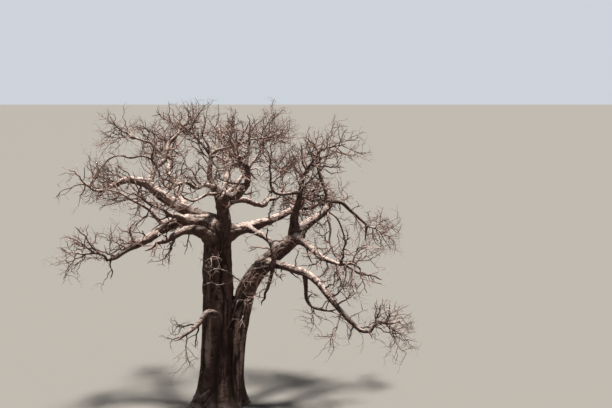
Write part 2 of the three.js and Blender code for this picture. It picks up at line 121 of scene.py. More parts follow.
@dataclass(frozen=True)
class LobePlan:
    """A lobe of the trunk: its place on the ground, radii, root flare, root ribs and legs."""

    place: Span
    radii: Span
    flare: float
    ribs: int
    phase: float  # of the ribs, in radians
    legs: Legs


@dataclass(frozen=True)
class LimbPlan:
    """A limb: the one it leaves and where, its radii at foot and tip, and its legs."""

    parent: str
    share: float
    radii: Span
    legs: Legs


@dataclass(frozen=True)
class MassPlan:
    """A mass of twigs: its limb, reach from its heart, stem radius, seed, lift, fullness and stem legs."""

    limb: str
    spread: float
    radius: float
    seed: int
    lift: float
    fullness: float
    legs: Legs


LOBES = {
    "lobe_west": LobePlan((-0.14, 0.0), (0.9, 0.7), 0.42, 5, 0.4,
        ((1.6, 10, 88), (1.7, 0, 88), (2.05, 0, 90))),
    "lobe_east": LobePlan((0.5, -0.08), (0.52, 0.44), 0.34, 4, 1.3,
        ((2.0, 0, 87), (1.7, 5, 83), (1.55, 0, 79))),
    "lobe_back": LobePlan((0.25, 0.6), (0.72, 0.4), 0.34, 4, 0.0, ((2.4, -110, 86), (2.6, -110, 83))),
    "lobe_front": LobePlan((0.12, -0.58), (0.4, 0.22), 0.3, 3, 2.2, ((2.4, 100, 88), (2.3, 95, 86))),
}

LIMBS = {
    "stem_west": LimbPlan("lobe_west", 1, (0.7, 0.6), ((1.6, -160, 89), (1.55, 0, 87))),
    "stem_east": LimbPlan("lobe_east", 1, (0.44, 0.31),
        ((0.65, 0, 72), (0.9, 0, 57), (0.9, 9, 44), (0.9, 8, 39), (0.65, 12, 42))),
    "west_high": LimbPlan("stem_west", 0.97, (0.34, 0.19),
        ((0.9, 172, 40), (0.85, 172, 28), (0.9, 166, 25), (0.65, 170, 32), (0.6, 168, 40), (0.5, 180, 18))),
    "west_crook": LimbPlan("west_high", 1, (0.18, 0.08),
        ((0.4, -165, 12), (0.5, -145, -12), (0.4, -148, -22), (0.45, -148, -20))),
    "west_rise": LimbPlan("west_high", 0.88, (0.14, 0.085),
        ((0.55, 73, 54), (0.5, 58, 47), (0.45, 47, 26), (0.55, 71, 54), (0.45, 80, 45), (0.55, 46, 40))),
    "west_hook": LimbPlan("west_rise", 0.34, (0.09, 0.05),
        ((0.4, 180, 60), (0.45, 0, 76), (0.3, -138, 62), (0.4, -164, 20))),
    "north_west": LimbPlan("west_high", 0.42, (0.2, 0.09),
        ((1.0, 118, 30), (1.1, 104, 18), (1.0, 122, 34), (0.9, 98, 20))),
    "west_low": LimbPlan("stem_west", 0.93, (0.38, 0.22),
        ((0.9, -155, 38), (0.65, -151, 13), (0.6, -151, 4), (0.5, -154, -17), (0.5, -151, -29))),
    "west_elbow": LimbPlan("west_low", 1, (0.21, 0.07),
        ((0.55, -142, -27), (0.55, -156, -25), (0.55, -158, -23), (0.45, -147, -31), (0.35, -142, -10))),
    "west_under": LimbPlan("stem_west", 0.86, (0.3, 0.14),
        ((1.35, -132, 25), (0.8, -129, 8), (0.6, -136, -18))),
    "west_fan": LimbPlan("west_low", 0.86, (0.09, 0.05),
        ((0.6, -154, 47), (0.45, -160, 51), (0.5, -166, 34), (0.4, -163, 29))),
    "south_west": LimbPlan("west_low", 0.55, (0.13, 0.06),
        ((0.9, -112, 24), (0.8, -100, 12), (0.8, -118, 30), (0.6, -104, 14))),
    "centre": LimbPlan("stem_west", 0.9, (0.34, 0.18),
        ((0.95, -22, 72), (0.6, 180, 82), (0.45, 144, 67), (0.5, 156, 60))),
    "centre_top": LimbPlan("centre", 1, (0.13, 0.06),
        ((0.4, 152, 62), (0.45, 92, 77), (0.5, 81, 67), (0.5, 130, 41), (0.55, 135, 35))),
    "top_east": LimbPlan("centre_top", 0.56, (0.085, 0.045),
        ((0.45, -34, 39), (0.55, -11, 16), (0.6, -10, 19), (0.55, -11, 20))),
    "top_mid": LimbPlan("centre_top", 0.56, (0.07, 0.035),
        ((0.65, -56, 6), (0.7, -51, -15), (0.7, -52, -12))),
    "north": LimbPlan("centre", 0.3, (0.2, 0.1),
        ((0.9, 86, 42), (1.1, 98, 34), (1.1, 84, 42), (1.0, 100, 30))),
    "north_east": LimbPlan("north", 0.38, (0.12, 0.06),
        ((0.9, 46, 34), (0.9, 66, 28), (0.8, 48, 42), (0.6, 62, 34))),
    "front_west": LimbPlan("centre", 0.94, (0.11, 0.05),
        ((0.85, -118, 16), (0.6, -120, -7), (0.8, -112, 22), (0.65, -116, 3), (0.65, -109, -10))),
    "front_twist": LimbPlan("centre", 0.81, (0.075, 0.04),
        ((0.8, -118, 8), (0.65, -115, -8), (0.65, -114, -4), (0.7, -113, 18))),
    "front_crook": LimbPlan("centre", 0.65, (0.18, 0.12),
        ((0.75, -54, 28), (0.8, -60, 7), (0.85, -66, 25), (0.75, -67, 30), (0.75, -82, 34))),
    "east_mid": LimbPlan("centre", 0.57, (0.15, 0.06),
        ((0.65, 41, 19), (0.65, 38, -1), (0.6, 34, -22), (0.5, 37, -10), (0.4, 60, 29), (0.5, 39, 6),
         (0.55, 60, 36), (0.6, 91, 47))),
    "east_low": LimbPlan("stem_west", 0.92, (0.29, 0.14),
        ((1.05, 17, 13), (0.8, 31, 9), (0.85, 37, 10), (0.75, 42, 12), (0.7, 50, 14))),
    "east_drop": LimbPlan("east_low", 0.33, (0.15, 0.07),
        ((0.8, -51, -9), (0.65, -49, -11), (0.55, -55, -26), (0.45, -65, -62), (0.55, -89, -79),
         (0.55, 180, -76), (0.5, 180, -75))),
    "spire": LimbPlan("stem_east", 0.98, (0.22, 0.11),
        ((0.65, -131, 78), (0.6, -47, 76), (0.5, 0, 75), (0.5, 20, 80))),
    "spire_west": LimbPlan("spire", 0.93, (0.08, 0.045),
        ((0.5, -143, 2), (0.5, -143, -1), (0.45, -139, 16), (0.5, -118, 49), (0.55, -87, 57))),
    "east_far": LimbPlan("stem_east", 0.97, (0.25, 0.13),
        ((0.6, 52, 34), (0.65, 44, 24), (0.6, 43, 21), (0.6, 50, 27), (0.4, 54, 48))),
    "east_high": LimbPlan("east_far", 0.97, (0.11, 0.065),
        ((0.6, 140, 66), (0.5, 152, 65), (0.5, 145, 70), (0.45, 133, 72))),
    "east_edge": LimbPlan("east_far", 1, (0.1, 0.05),
        ((0.55, 23, -8), (0.65, 37, -37), (0.65, 24, -41), (0.7, 22, -41))),
    "east_hang": LimbPlan("east_far", 0.86, (0.07, 0.035),
        ((0.65, -84, -45), (0.5, -66, -64), (0.55, -104, -69), (0.45, -56, -58))),
    "east_fall": LimbPlan("stem_east", 0.96, (0.2, 0.09),
        ((0.8, -65, -2), (0.85, -58, -15), (0.95, -62, -12), (0.75, -56, -4))),
    "arch": LimbPlan("stem_east", 0.51, (0.2, 0.13),
        ((1.2, -49, 6), (0.85, -46, -3), (0.75, -41, -8), (0.75, -47, -22), (0.75, -53, -32))),
    "arch_tip": LimbPlan("arch", 1, (0.125, 0.075),
        ((0.65, -36, -41), (0.75, -31, -40), (0.65, -22, -36), (0.3, -10, -3))),
    "prop": LimbPlan("arch", 0.62, (0.1, 0.05),
        ((0.6, -60, -86), (0.55, -30, -85), (0.35, -25, -50), (0.5, -12, -17), (0.35, -16, -3))),
    "stub": LimbPlan("lobe_front", 0.98, (0.17, 0.07),
        ((0.95, -124, 20), (0.6, -128, -34), (0.6, -131, -25), (0.35, -140, -21))),
}

SIDE_TWIGS = {
    "hang_twin": LimbPlan("east_far", 0.81, (0.05, 0.03),
        ((0.63, -11, -34), (0.74, -9, -66), (0.46, 27, -76), (0.39, 102, -75))),
    "elbow_twig": LimbPlan("west_elbow", 0.43, (0.05, 0.025),
        ((0.45, -150, 60), (0.35, -130, 80), (0.49, 9, 51))),
    "elbow_hang": LimbPlan("west_elbow", 0.95, (0.035, 0.02),
        ((0.3, -116, -77), (0.25, -30, -60), (0.36, 180, -74))),
    "pale_hook": LimbPlan("front_west", 0.3, (0.05, 0.03),
        ((0.4, -150, 50), (0.38, 178, 68), (0.29, -169, 28), (0.26, 180, -31))),
    "pale_arch": LimbPlan("west_hook", 0.24, (0.05, 0.03),
        ((0.5, -174, 18), (0.5, -170, -10), (0.5, 178, 12), (0.5, -172, -16), (0.85, -170, -49))),
    "rise_stub": LimbPlan("west_rise", 0.58, (0.075, 0.05), ((0.26, 0, -19), (0.24, 0, -11))),
    "edge_knob": LimbPlan("east_edge", 0.97, (0.065, 0.05), ((0.39, 180, -85), (0.4, 150, -84))),
    "dome_west": LimbPlan("centre_top", 0.5, (0.06, 0.03),
        ((0.6, 120, 70), (0.6, 170, 62), (0.6, 60, 70), (0.6, 110, 60))),
    "dome_east": LimbPlan("top_east", 0.7, (0.045, 0.02),
        ((0.4, -60, 40), (0.35, 35, 62), (0.35, -70, 25), (0.3, 10, 68))),
    "high_fork": LimbPlan("east_high", 0.94, (0.06, 0.035),
        ((0.34, -33, 58), (0.43, -173, 27), (0.48, 180, 6))),
    "shoot_crotch": LimbPlan("stem_east", 0.19, (0.035, 0.02),
        ((1.1, -120, 30), (0.5, -150, 40), (0.55, -169, 17), (0.44, 180, -24))),
    "shoot_cross": LimbPlan("stem_west", 0.21, (0.03, 0.02),
        ((1.1, -69, 12), (0.3, -162, -8), (0.3, -150, 30), (0.42, -173, -17))),
    "shoot_high": LimbPlan("stem_west", 0.53, (0.028, 0.018),
        ((1.0, -71, 17), (0.39, -164, 24), (0.46, 180, -29))),
    "shoot_fall": LimbPlan("lobe_east", 0.99, (0.035, 0.02),
        ((0.95, -99, 17), (0.74, -146, -69), (0.71, -171, -63))),
    "shoot_droop": LimbPlan("lobe_east", 0.97, (0.03, 0.018),
        ((0.86, -76, 17), (0.72, -122, -71), (0.87, -162, -68))),
    "under_tip": LimbPlan("west_under", 1, (0.135, 0.045),
        ((0.4, -152, -26), (0.35, -166, -8), (0.35, -140, -36), (0.3, -170, -20))),
    "twist_tip": LimbPlan("front_twist", 1, (0.038, 0.018), ((0.3, -112, 34), (0.3, -128, 2))),
    "prop_tip": LimbPlan("prop", 1, (0.048, 0.02), ((0.3, -10, 14), (0.25, -28, -16))),
    "stub_tip": LimbPlan("stub", 1, (0.068, 0.026), ((0.25, -146, -30), (0.3, -132, -6))),
    "drop_tip": LimbPlan("east_drop", 1, (0.066, 0.024),
        ((0.22, -160, -58), (0.22, -112, -82), (0.2, 172, -50), (0.18, -150, -84))),
}

MASSES = {
    "west_crook": MassPlan("west_crook", 1.8, 0.075, 11, 0.1, 0.35,
        ((0.35, 175, 10), (0.35, 160, 30), (0.35, 176, 14))),
    "west_rise": MassPlan("west_rise", 1.65, 0.08, 12, -0.05, 0.3,
        ((0.4, 80, 24), (0.5, 110, 8), (0.5, 80, 15))),
    "west_hook": MassPlan("west_hook", 1.8, 0.05, 13, 0.05, 0.4,
        ((0.5, 170, 20), (0.5, 150, 22), (0.5, 180, 18))),
    "north_west": MassPlan("north_west", 2.3, 0.085, 14, 0.15, 0.5,
        ((0.6, 125, 35), (0.6, 145, 30), (0.6, 120, 45))),
    "west_reach": MassPlan("west_elbow", 1.6, 0.065, 15, 0.05, 0.45,
        ((0.3, -134, 55), (0.4, -166, 15), (0.4, -168, -3), (0.4, -172, 8))),
    "west_fan": MassPlan("west_fan", 1.9, 0.048, 17, 0.1, 0.3,
        ((0.5, -165, 35), (0.5, -150, 20), (0.5, -175, 30))),
    "south_west": MassPlan("south_west", 2.2, 0.058, 18, 0.12, 0.25,
        ((0.5, -120, 30), (0.6, -100, 25), (0.5, -130, 30))),
    "centre_top": MassPlan("centre_top", 1.8, 0.06, 19, 0.05, 0.4,
        ((0.4, 150, 40), (0.4, 200, 35), (0.4, 160, 35))),
    "top_east": MassPlan("top_east", 1.9, 0.045, 20, 0.0, 0.35,
        ((0.4, -5, 6), (0.5, 20, 4), (0.4, -10, 2))),
    "top_mid": MassPlan("top_mid", 1.7, 0.035, 21, 0.12, 0.35,
        ((0.4, -60, 20), (0.4, -30, 45), (0.4, -70, 45))),
    "north": MassPlan("north", 2.3, 0.095, 22, 0.15, 0.55,
        ((0.6, 105, 40), (0.6, 80, 35), (0.6, 110, 45))),
    "north_east": MassPlan("north_east", 2.2, 0.055, 24, 0.12, FULLNESS,
        ((0.5, 60, 40), (0.6, 80, 35), (0.5, 50, 35))),
    "front_west": MassPlan("front_west", 2.1, 0.048, 23, 0.12, 0.35,
        ((0.5, -115, 20), (0.5, -90, 40), (0.5, -110, 40))),
    "front_crook": MassPlan("front_crook", 2.3, 0.11, 25, 0.12, 0.3,
        ((0.5, -90, 40), (0.6, -115, 25), (0.6, -90, 30))),
    "east_mid": MassPlan("east_mid", 2.1, 0.058, 26, 0.15, FULLNESS,
        ((0.5, 100, 50), (0.6, 120, 35), (0.6, 100, 45))),
    "east_low": MassPlan("east_low", 2.2, 0.13, 27, 0.05, FULLNESS,
        ((0.6, 50, 15), (0.6, 70, 22), (0.6, 55, 20))),
    "spire": MassPlan("spire", 2.0, 0.1, 28, 0.15, 0.5,
        ((0.5, 10, 75), (0.5, -40, 60), (0.5, 10, 55))),
    "spire_west": MassPlan("spire_west", 2.0, 0.045, 29, 0.12, 0.35,
        ((0.4, -100, 50), (0.5, -80, 40), (0.4, -110, 50))),
    "east_crest": MassPlan("east_high", 2.1, 0.065, 30, 0.06, 0.45,
        ((0.3, 80, 75), (0.4, -28, 40), (0.5, -12, 17), (0.6, -11, 12))),
    "east_edge": MassPlan("east_edge", 1.6, 0.048, 31, 0.0, 0.5,
        ((0.35, 0, -15), (0.35, -30, -25), (0.35, 10, -5))),
    "east_hang": MassPlan("east_hang", 1.7, 0.034, 32, -0.1, 0.45,
        ((0.3, -60, -45), (0.4, -20, -30), (0.4, -60, -20))),
    "east_fall": MassPlan("east_fall", 2.2, 0.085, 33, -0.1, 0.35,
        ((0.5, -55, 0), (0.6, -35, 10), (0.6, -60, -10))),
    "arch": MassPlan("arch_tip", 1.5, 0.07, 34, 0.05, 0.45,
        ((0.3, 10, 55), (0.25, 0, 40), (0.45, -12, -8), (0.45, -5, 18))),
}


def unit(vectors: Array) -> Array:
    """Vectors brought to length 1."""
    return vectors / np.maximum(np.linalg.norm(vectors, axis=-1, keepdims=True), TINY)


def dimmed(tone: Colour, share: float) -> Colour:
    """A colour with each part brought down to a share of it."""
    return tuple(share * part for part in tone)


def distances(points: Array) -> Array:
    """How far along a line each of its points lies."""
    return np.concatenate([[0.0], np.cumsum(np.linalg.norm(np.diff(points, axis=0), axis=1))])


def steps_in(length: float, step: float, least: int = 4) -> int:
    """How many steps of about a given size a length is led in."""
    return max(least, round(length / step))


def batches(rows: Array, size: int) -> list[Array]:
    """Rows in parts of about a given size, which keeps arrays of distances small."""
    return np.array_split(rows, max(1, len(rows) // size))


def curved(start: Array, end: Array, leave: Array, arrive: Array, part: Array | float) -> Array:
    """Points on curved runs.

    Args:
        start: Where each run starts.
        end: Where it ends.
        leave: Its slope at the start.
        arrive: Its slope at the end.
        part: How much of it lies before the point.

    Returns:
        One point for each run.
    """
    square = 3 * (end - start) - 2 * leave - arrive
    cube = 2 * (start - end) + leave + arrive
    return start + part * (leave + part * (square + part * cube))


def walk(start: Array, legs: Legs) -> Array:
    """The points that legs lead through.

    Args:
        start: The first point.
        legs: Each leg's length, heading left from +X and climb from the level.

    Returns:
        One more point than there are legs.
    """
    points = [start]
    for length, heading, climb in legs:
        turn, rise = math.radians(heading), math.radians(climb)
        way = np.array([math.cos(turn) * math.cos(rise), math.sin(turn) * math.cos(rise), math.sin(rise)])
        points.append(points[-1] + length * way)
    return np.array(points)


def square_to(ways: Array) -> Array:
    """Level directions square to others.

    Args:
        ways: Directions in any shape, with x, y and z on the last axis.

    Returns:
        A direction for each, which is +X for an upright one.
    """
    sides = np.cross(ways, UP)
    upright = np.linalg.norm(sides, axis=-1, keepdims=True) < UPRIGHT
    return np.where(upright, np.array([1.0, 0.0, 0.0]), unit(sides))


def carried_sides(ways: Array) -> Array:
    """One direction square to a line at each of its points, with no twist between them.

    Args:
        ways: The line's directions, its points on the axis before the last.

    Returns:
        An array of the same shape.
    """
    side = square_to(ways[..., 0, :])
    sides = []
    for step in range(ways.shape[-2]):
        way = ways[..., step, :]
        side = unit(side - way * (side * way).sum(-1, keepdims=True))
        sides.append(side)
    return np.stack(sides, axis=-2)


class Curve:
    """A smooth centripetal line through points, measured by its own length."""

    divisions: int = 200  # that its length is measured in
    nudge: float = 0.0001  # to both sides of a mark, for the direction there

    def __init__(self, points: Array) -> None:
        """Leads the line.

        Args:
            points: What the line passes through.
        """
        self.points = points
        self.guides = np.vstack([2 * points[0] - points[1], points, 2 * points[-1] - points[-2]])
        self.marks = np.linspace(0, 1, self.divisions + 1)
        self.lengths = distances(self.at_marks(self.marks))
        self.length = float(self.lengths[-1])

    def at_marks(self, marks: Array) -> Array:
        """The points at marks, which run evenly from each given point to the next.

        Args:
            marks: Numbers from 0 at the first given point to 1 at the last.

        Returns:
            One point for each mark.
        """
        runs = len(self.points) - 1
        place = np.clip(marks, 0, 1) * runs
        run = np.minimum(place.astype(int), runs - 1)
        part = (place - run)[:, None]
        before, start, end, after = (self.guides[run + step] for step in range(4))
        gaps = (start - before, end - start, after - end)
        back, span, on = (np.sqrt(np.linalg.norm(gap, axis=1, keepdims=True)) for gap in gaps)
        leave = ((start - before) / back - (end - before) / (back + span) + (end - start) / span) * span
        arrive = ((end - start) / span - (after - start) / (span + on) + (after - end) / on) * span
        return curved(start, end, leave, arrive, part)

    def marks_of(self, shares: Array) -> Array:
        """The marks at shares of the length."""
        return np.interp(np.asarray(shares) * self.length, self.lengths, self.marks)

    def points_at(self, shares: Array) -> Array:
        """The points at shares of the length."""
        return self.at_marks(self.marks_of(shares))

    def ways_at(self, shares: Array) -> Array:
        """The directions of the line.

        Args:
            shares: Shares of the length.

        Returns:
            One direction for each share.
        """
        marks = self.marks_of(shares)
        ahead = self.at_marks(np.minimum(marks + self.nudge, 1))
        return unit(ahead - self.at_marks(np.maximum(marks - self.nudge, 0)))


@dataclass
class Limb:
    """A lobe of the trunk or a limb, in its place."""

    start: Array
    radii: Span
    legs: Legs
    flare: float = 0.0
    ribs: int = 0
    phase: float = 0.0
    buried: float = 0.0
    curve: Curve = field(init=False)

    def __post_init__(self) -> None:
        """Leads the line through the legs."""
        self.curve = Curve(walk(self.start, self.legs))

    def radius_at(self, shares: Array) -> Array:
        """The radius with collar and root flare but without ribs.

        Args:
            shares: Shares of the length.

        Returns:
            One radius for each share.
        """
        foot, tip = self.radii
        radius = foot + (tip - foot) * shares
        if self.buried:
            outside = np.maximum(0, shares * self.curve.length - self.buried)
            radius = radius + COLLAR_SWELL * foot * np.exp(-outside / (COLLAR_REACH * foot))
        if self.flare:
            height = np.maximum(0, self.curve.points_at(shares)[:, 2])
            radius = radius + self.flare * np.exp(-height / FLARE_REACH)
        return radius


def place_limbs() -> dict[str, Limb]:
    """Puts every lobe and limb in its place.

    Returns:
        The limbs by name, each after the one it leaves.
    """
    placed: dict[str, Limb] = {}
    for name, plan in LOBES.items():
        start = np.array([*plan.place, -FOOT_DEPTH])
        placed[name] = Limb(start, plan.radii, plan.legs, plan.flare, plan.ribs, plan.phase)
    for name, plan in (LIMBS | SIDE_TWIGS).items():
        parent = placed[plan.parent]
        share = np.array([float(plan.share)])
        start = parent.curve.points_at(share)[0]
        if plan.share == 1:
            start = start + SEAT_GAP * parent.curve.ways_at(share)[0]
            placed[name] = Limb(start, plan.radii, plan.legs)
        else:
            placed[name] = Limb(start, plan.radii, plan.legs, buried=float(parent.radius_at(share)[0]))
    return placed


@dataclass
class Stem:
    """The stem of a mass of twigs, which grows on from its limb's tip."""

    plan: MassPlan
    limb: Limb
    foot: Array = field(init=False)
    heart: Array = field(init=False)
    curve: Curve = field(init=False)

    def __post_init__(self) -> None:
        """Leads the stem on from the limb."""
        end = np.array([1.0])
        way = self.limb.curve.ways_at(end)[0]
        self.foot = self.limb.curve.points_at(end)[0] + SEAT_GAP * way
        neck = self.foot + NECK * self.plan.radius * way
        self.curve = Curve(np.vstack([self.foot, walk(neck, self.plan.legs)]))
        self.heart = (neck + self.curve.points[-1]) / 2

    def radius_at(self, shares: Array) -> Array:
        """The radius at shares of the length."""
        return self.plan.radius * (1 - (1 - RULE.taper) * shares)

    def as_twig(self, home: int, steps: int = 4) -> "Twigs":
        """The stem beyond its neck as the twig that bears all the mass's others.

        Args:
            home: The row of the mass's home.
            steps: How many its line has from bend to bend.

        Returns:
            One twig.
        """
        runs = len(self.curve.points) - 1
        line = self.curve.at_marks(np.linspace(1 / runs, 1, steps * (runs - 1) + 1))
        values = (np.array([value]) for value in (self.plan.radius, self.plan.seed, home, 0))
        return Twigs(self.curve.points[None, 1:], line[None], *values)


class Noise:
    """Smooth waves in three directions, the same on every run, mostly from -0.5 to 0.5."""

    cells: int = 256  # before the waves repeat, along each axis

    def __init__(self, seed: int) -> None:
        """Deals the waves out.

        Args:
            seed: Any whole number.
        """
        draw = np.random.default_rng(seed)
        self.order = draw.permutation(self.cells)
        self.slopes = unit(draw.normal(size=(self.cells, 3)))

    def __call__(self, places: Array) -> Array:
        """The height of the waves.

        Args:
            places: Points in any shape, with x, y and z on the last axis.

        Returns:
            One height for each point.
        """
        whole = np.floor(places).astype(int)
        part = places - whole
        smooth = part**3 * (part * (part * 6 - 15) + 10)
        total = np.zeros(places.shape[:-1])
        wrap = self.cells - 1
        for corner in itertools.product((0, 1), repeat=3):
            x, y, z = np.moveaxis((whole + corner) & wrap, -1, 0)
            key = self.order[(self.order[(self.order[x] + y) & wrap] + z) & wrap]
            height = ((part - corner) * self.slopes[key]).sum(-1)
            total += height * np.prod(np.where(corner, smooth, 1 - smooth), axis=-1)
        return total


NOISE = Noise(seed=7)


@dataclass(frozen=True)
class Relief:
    """How bark departs from a plain tube. Heights and lengths are shares of the limb's radius."""

    lump: float = 0.2
    lump_length: float = 1.7
    small_lump: float = 0.5  # as a share of a lump's height
    small_length: float = 0.8
    small_round: float = 2.0
    fold: float = 0.085
    fold_width: float = 0.05
    fold_length: float = 5.0
    folds_round: float = 1.9
    fold_sway: float = 0.6  # how far lumps bend the folds
    ridge: float = 1.2  # of the swelling between folds, as a share of their depth
    wrinkle: float = 0.03
    wrinkle_length: float = 0.32
    wrinkles_round: float = 0.8
    wrinkle_sway: float = 3.0
    knots: float = 0.9  # on a stretch of the limb as long as the next value
    knot_stretch: float = 4.0
    knot_height: float = 0.2
    knot_widths: Span = (0.25, 0.6)
    knot_shares: Span = (0.4, 1.2)  # of the knots' height
    scar_width: float = 0.4  # of the hollow in a knot, as a share of its width
    scar_depth: float = 0.55
    apart: float = 17.3  # between two limbs' places in the waves
    small_start: float = 9.0  # where in the waves the small lumps begin
    fold_start: float = 31.0

    def __call__(self, around: Array, along: Array, size: float, seed: int) -> Array:
        """The surface's height over the plain tube, as a share of its radius.

        Args:
            around: Angles round the limb in radians.
            along: Distances along the limb.
            size: The limb's usual radius, which all lengths are scaled by.
            seed: Gives each limb relief of its own.

        Returns:
            An array of the shape of around.
        """
        x, y, z = np.cos(around), np.sin(around), along / size
        shift = self.apart * seed

        def waves(turns: float, length: float, sway: Array | float = 0, start: Array | float = 0) -> Array:
            """Waves so close round the limb and so long on it, bent sideways and begun further on."""
            return NOISE(np.stack([turns * x + shift + sway, turns * y + sway, z / length + start], axis=-1))

        lumps = waves(1, self.lump_length)
        lumps += self.small_lump * waves(self.small_round, self.small_length, 0, self.small_start)
        fold = waves(self.folds_round, self.fold_length, self.fold_sway * lumps, self.fold_start)
        groove = np.exp(-((fold / self.fold_width) ** 2))
        rings = waves(self.wrinkles_round, self.wrinkle_length, 0, self.wrinkle_sway * lumps)
        folded = self.fold * (self.ridge * np.abs(fold) - groove)
        return self.lump * lumps + folded + self.wrinkle * rings + self.knots_at(around, along, size, seed)

    def knots_at(self, around: Array, along: Array, size: float, seed: int) -> Array:
        """The height of the knots and of the old branch scars in them.

        Args:
            around: Angles round the limb in radians.
            along: Distances along the limb.
            size: The limb's usual radius.
            seed: The limb's seed.

        Returns:
            An array of the shape of around.
        """
        draw = np.random.default_rng(KNOT_SEEDS + seed)
        first, last = float(along.min()), float(along.max())
        height = np.zeros_like(along)
        for _ in range(round(self.knots * (last - first) / (self.knot_stretch * size))):
            turn, place = draw.uniform(-math.pi, math.pi), draw.uniform(first, last)
            width, rise = draw.uniform(*self.knot_widths), self.knot_height * draw.uniform(*self.knot_shares)
            off = np.angle(np.exp(1j * (around - turn)))
            far = np.hypot(off, (along - place) / size) / width
            scar = self.scar_depth * np.exp(-((far / self.scar_width) ** 2))
            height += rise * (np.exp(-(far**2)) - scar)
        return height


@dataclass
class Line:
    """A limb's middle line in close steps, with the radius and the frame at each."""

    points: Array
    radii: Array
    ways: Array = field(init=False)
    sides: Array = field(init=False)
    along: Array = field(init=False)
    batch: int = 20000  # places that are looked at together

    def __post_init__(self) -> None:
        """Works out the directions, the side directions and the distances."""
        self.ways = unit(np.gradient(self.points, axis=0))
        self.sides = carried_sides(self.ways)
        self.along = distances(self.points)

    @classmethod
    def through(cls, limbs: list[Limb], stem: Stem | None, step: float, rounds: int = 2) -> "Line":
        """The line through limbs that grow on from each other, and a mass's stem.

        Args:
            limbs: The limbs, from foot to tip.
            stem: The stem of the mass at the tip, if there is one.
            step: The distance between points.
            rounds: How often the bends where one limb meets the next are eased.

        Returns:
            The line, its first and last points in place.
        """
        parts = [(limb.curve, limb.radius_at) for limb in limbs]
        if stem:
            parts.append((stem.curve, stem.radius_at))
        points, radii = [], []
        for index, (curve, radius_at) in enumerate(parts):
            shares = np.linspace(0, 1, steps_in(curve.length, step) + 1)[1 if index else 0:]
            points.append(curve.points_at(shares))
            radii.append(radius_at(shares))
        line, widths = np.vstack(points), np.concatenate(radii)
        for _ in range(rounds):
            line[1:-1] = (line[:-2] + 2 * line[1:-1] + line[2:]) / 4
            widths[1:-1] = (widths[:-2] + 2 * widths[1:-1] + widths[2:]) / 4
        return cls(line, widths)

    def nearest(self, places: Array) -> tuple[Array, Array, Array]:
        """How places lie to the line.

        Args:
            places: Points in space.

        Returns:
            Each one's depth outside the tube, angle round it and distance along it.
        """
        index = np.empty(len(places), int)
        for rows in batches(np.arange(len(places)), self.batch):
            gaps = places[rows, None, :] - self.points[None, :, :]
            index[rows] = ((gaps**2).sum(-1)).argmin(1)
        offset = places - self.points[index]
        forward = (offset * self.ways[index]).sum(-1)
        across = np.cross(self.sides[index], self.ways[index])
        x, y = (offset * self.sides[index]).sum(-1), (offset * across).sum(-1)
        return np.hypot(x, y) - self.radii[index], np.arctan2(y, x), self.along[index] + forward


def in_scene(name: str, data: bpy.types.ID) -> bpy.types.Object:
    """Puts a mesh, a lamp or a camera in the scene.

    Args:
        name: The new object's name.
        data: What it is.

    Returns:
        The object.
    """
    piece = bpy.data.objects.new(name, data)
    bpy.context.scene.collection.objects.link(piece)
    return piece


def deselect_all() -> None:
    """Deselects every object."""
    bpy.ops.object.select_all(action="DESELECT")


def activate(piece: bpy.types.Object) -> None:
    """Makes one object the selected and active one.

    Args:
        piece: The object.
    """
    deselect_all()
    piece.select_set(True)
    bpy.context.view_layer.objects.active = piece


def apply_modifier(piece: bpy.types.Object, kind: str, **settings: object) -> None:
    """Adds a modifier to a piece and applies it.

    Args:
        piece: The object.
        kind: The modifier's type.
        settings: Values of the modifier's properties.
    """
    activate(piece)
    modifier = piece.modifiers.new(kind.lower(), kind)
    for key, value in settings.items():
        setattr(modifier, key, value)
    bpy.ops.object.modifier_apply(modifier=modifier.name)


def corners_of(mesh: bpy.types.Mesh) -> Array:
    """A mesh's points as an array.

    Args:
        mesh: The mesh.

    Returns:
        One row for each point.
    """
    places = np.empty(len(mesh.vertices) * 3)
    mesh.vertices.foreach_get("co", places)
    return places.reshape(-1, 3)


def move_corners(mesh: bpy.types.Mesh, places: Array) -> None:
    """Puts a mesh's points at new places."""
    mesh.vertices.foreach_set("co", places.ravel())
    mesh.update()


def mark_corners(mesh: bpy.types.Mesh, name: str, values: Array) -> None:
    """Stores one number or one vector for each point of a mesh, for its material to read."""
    kind, key = ("FLOAT_VECTOR", "vector") if values.ndim == 2 else ("FLOAT", "value")
    mesh.attributes.new(name, kind, "POINT").data.foreach_set(key, values.astype(np.float32).ravel())


def grain_at(around: Array, radius: Array, along: Array) -> Array:
    """Places on a limb as if it were straight, for patterns to follow it."""
    return np.stack([np.cos(around) * radius, np.sin(around) * radius, along], axis=-1)


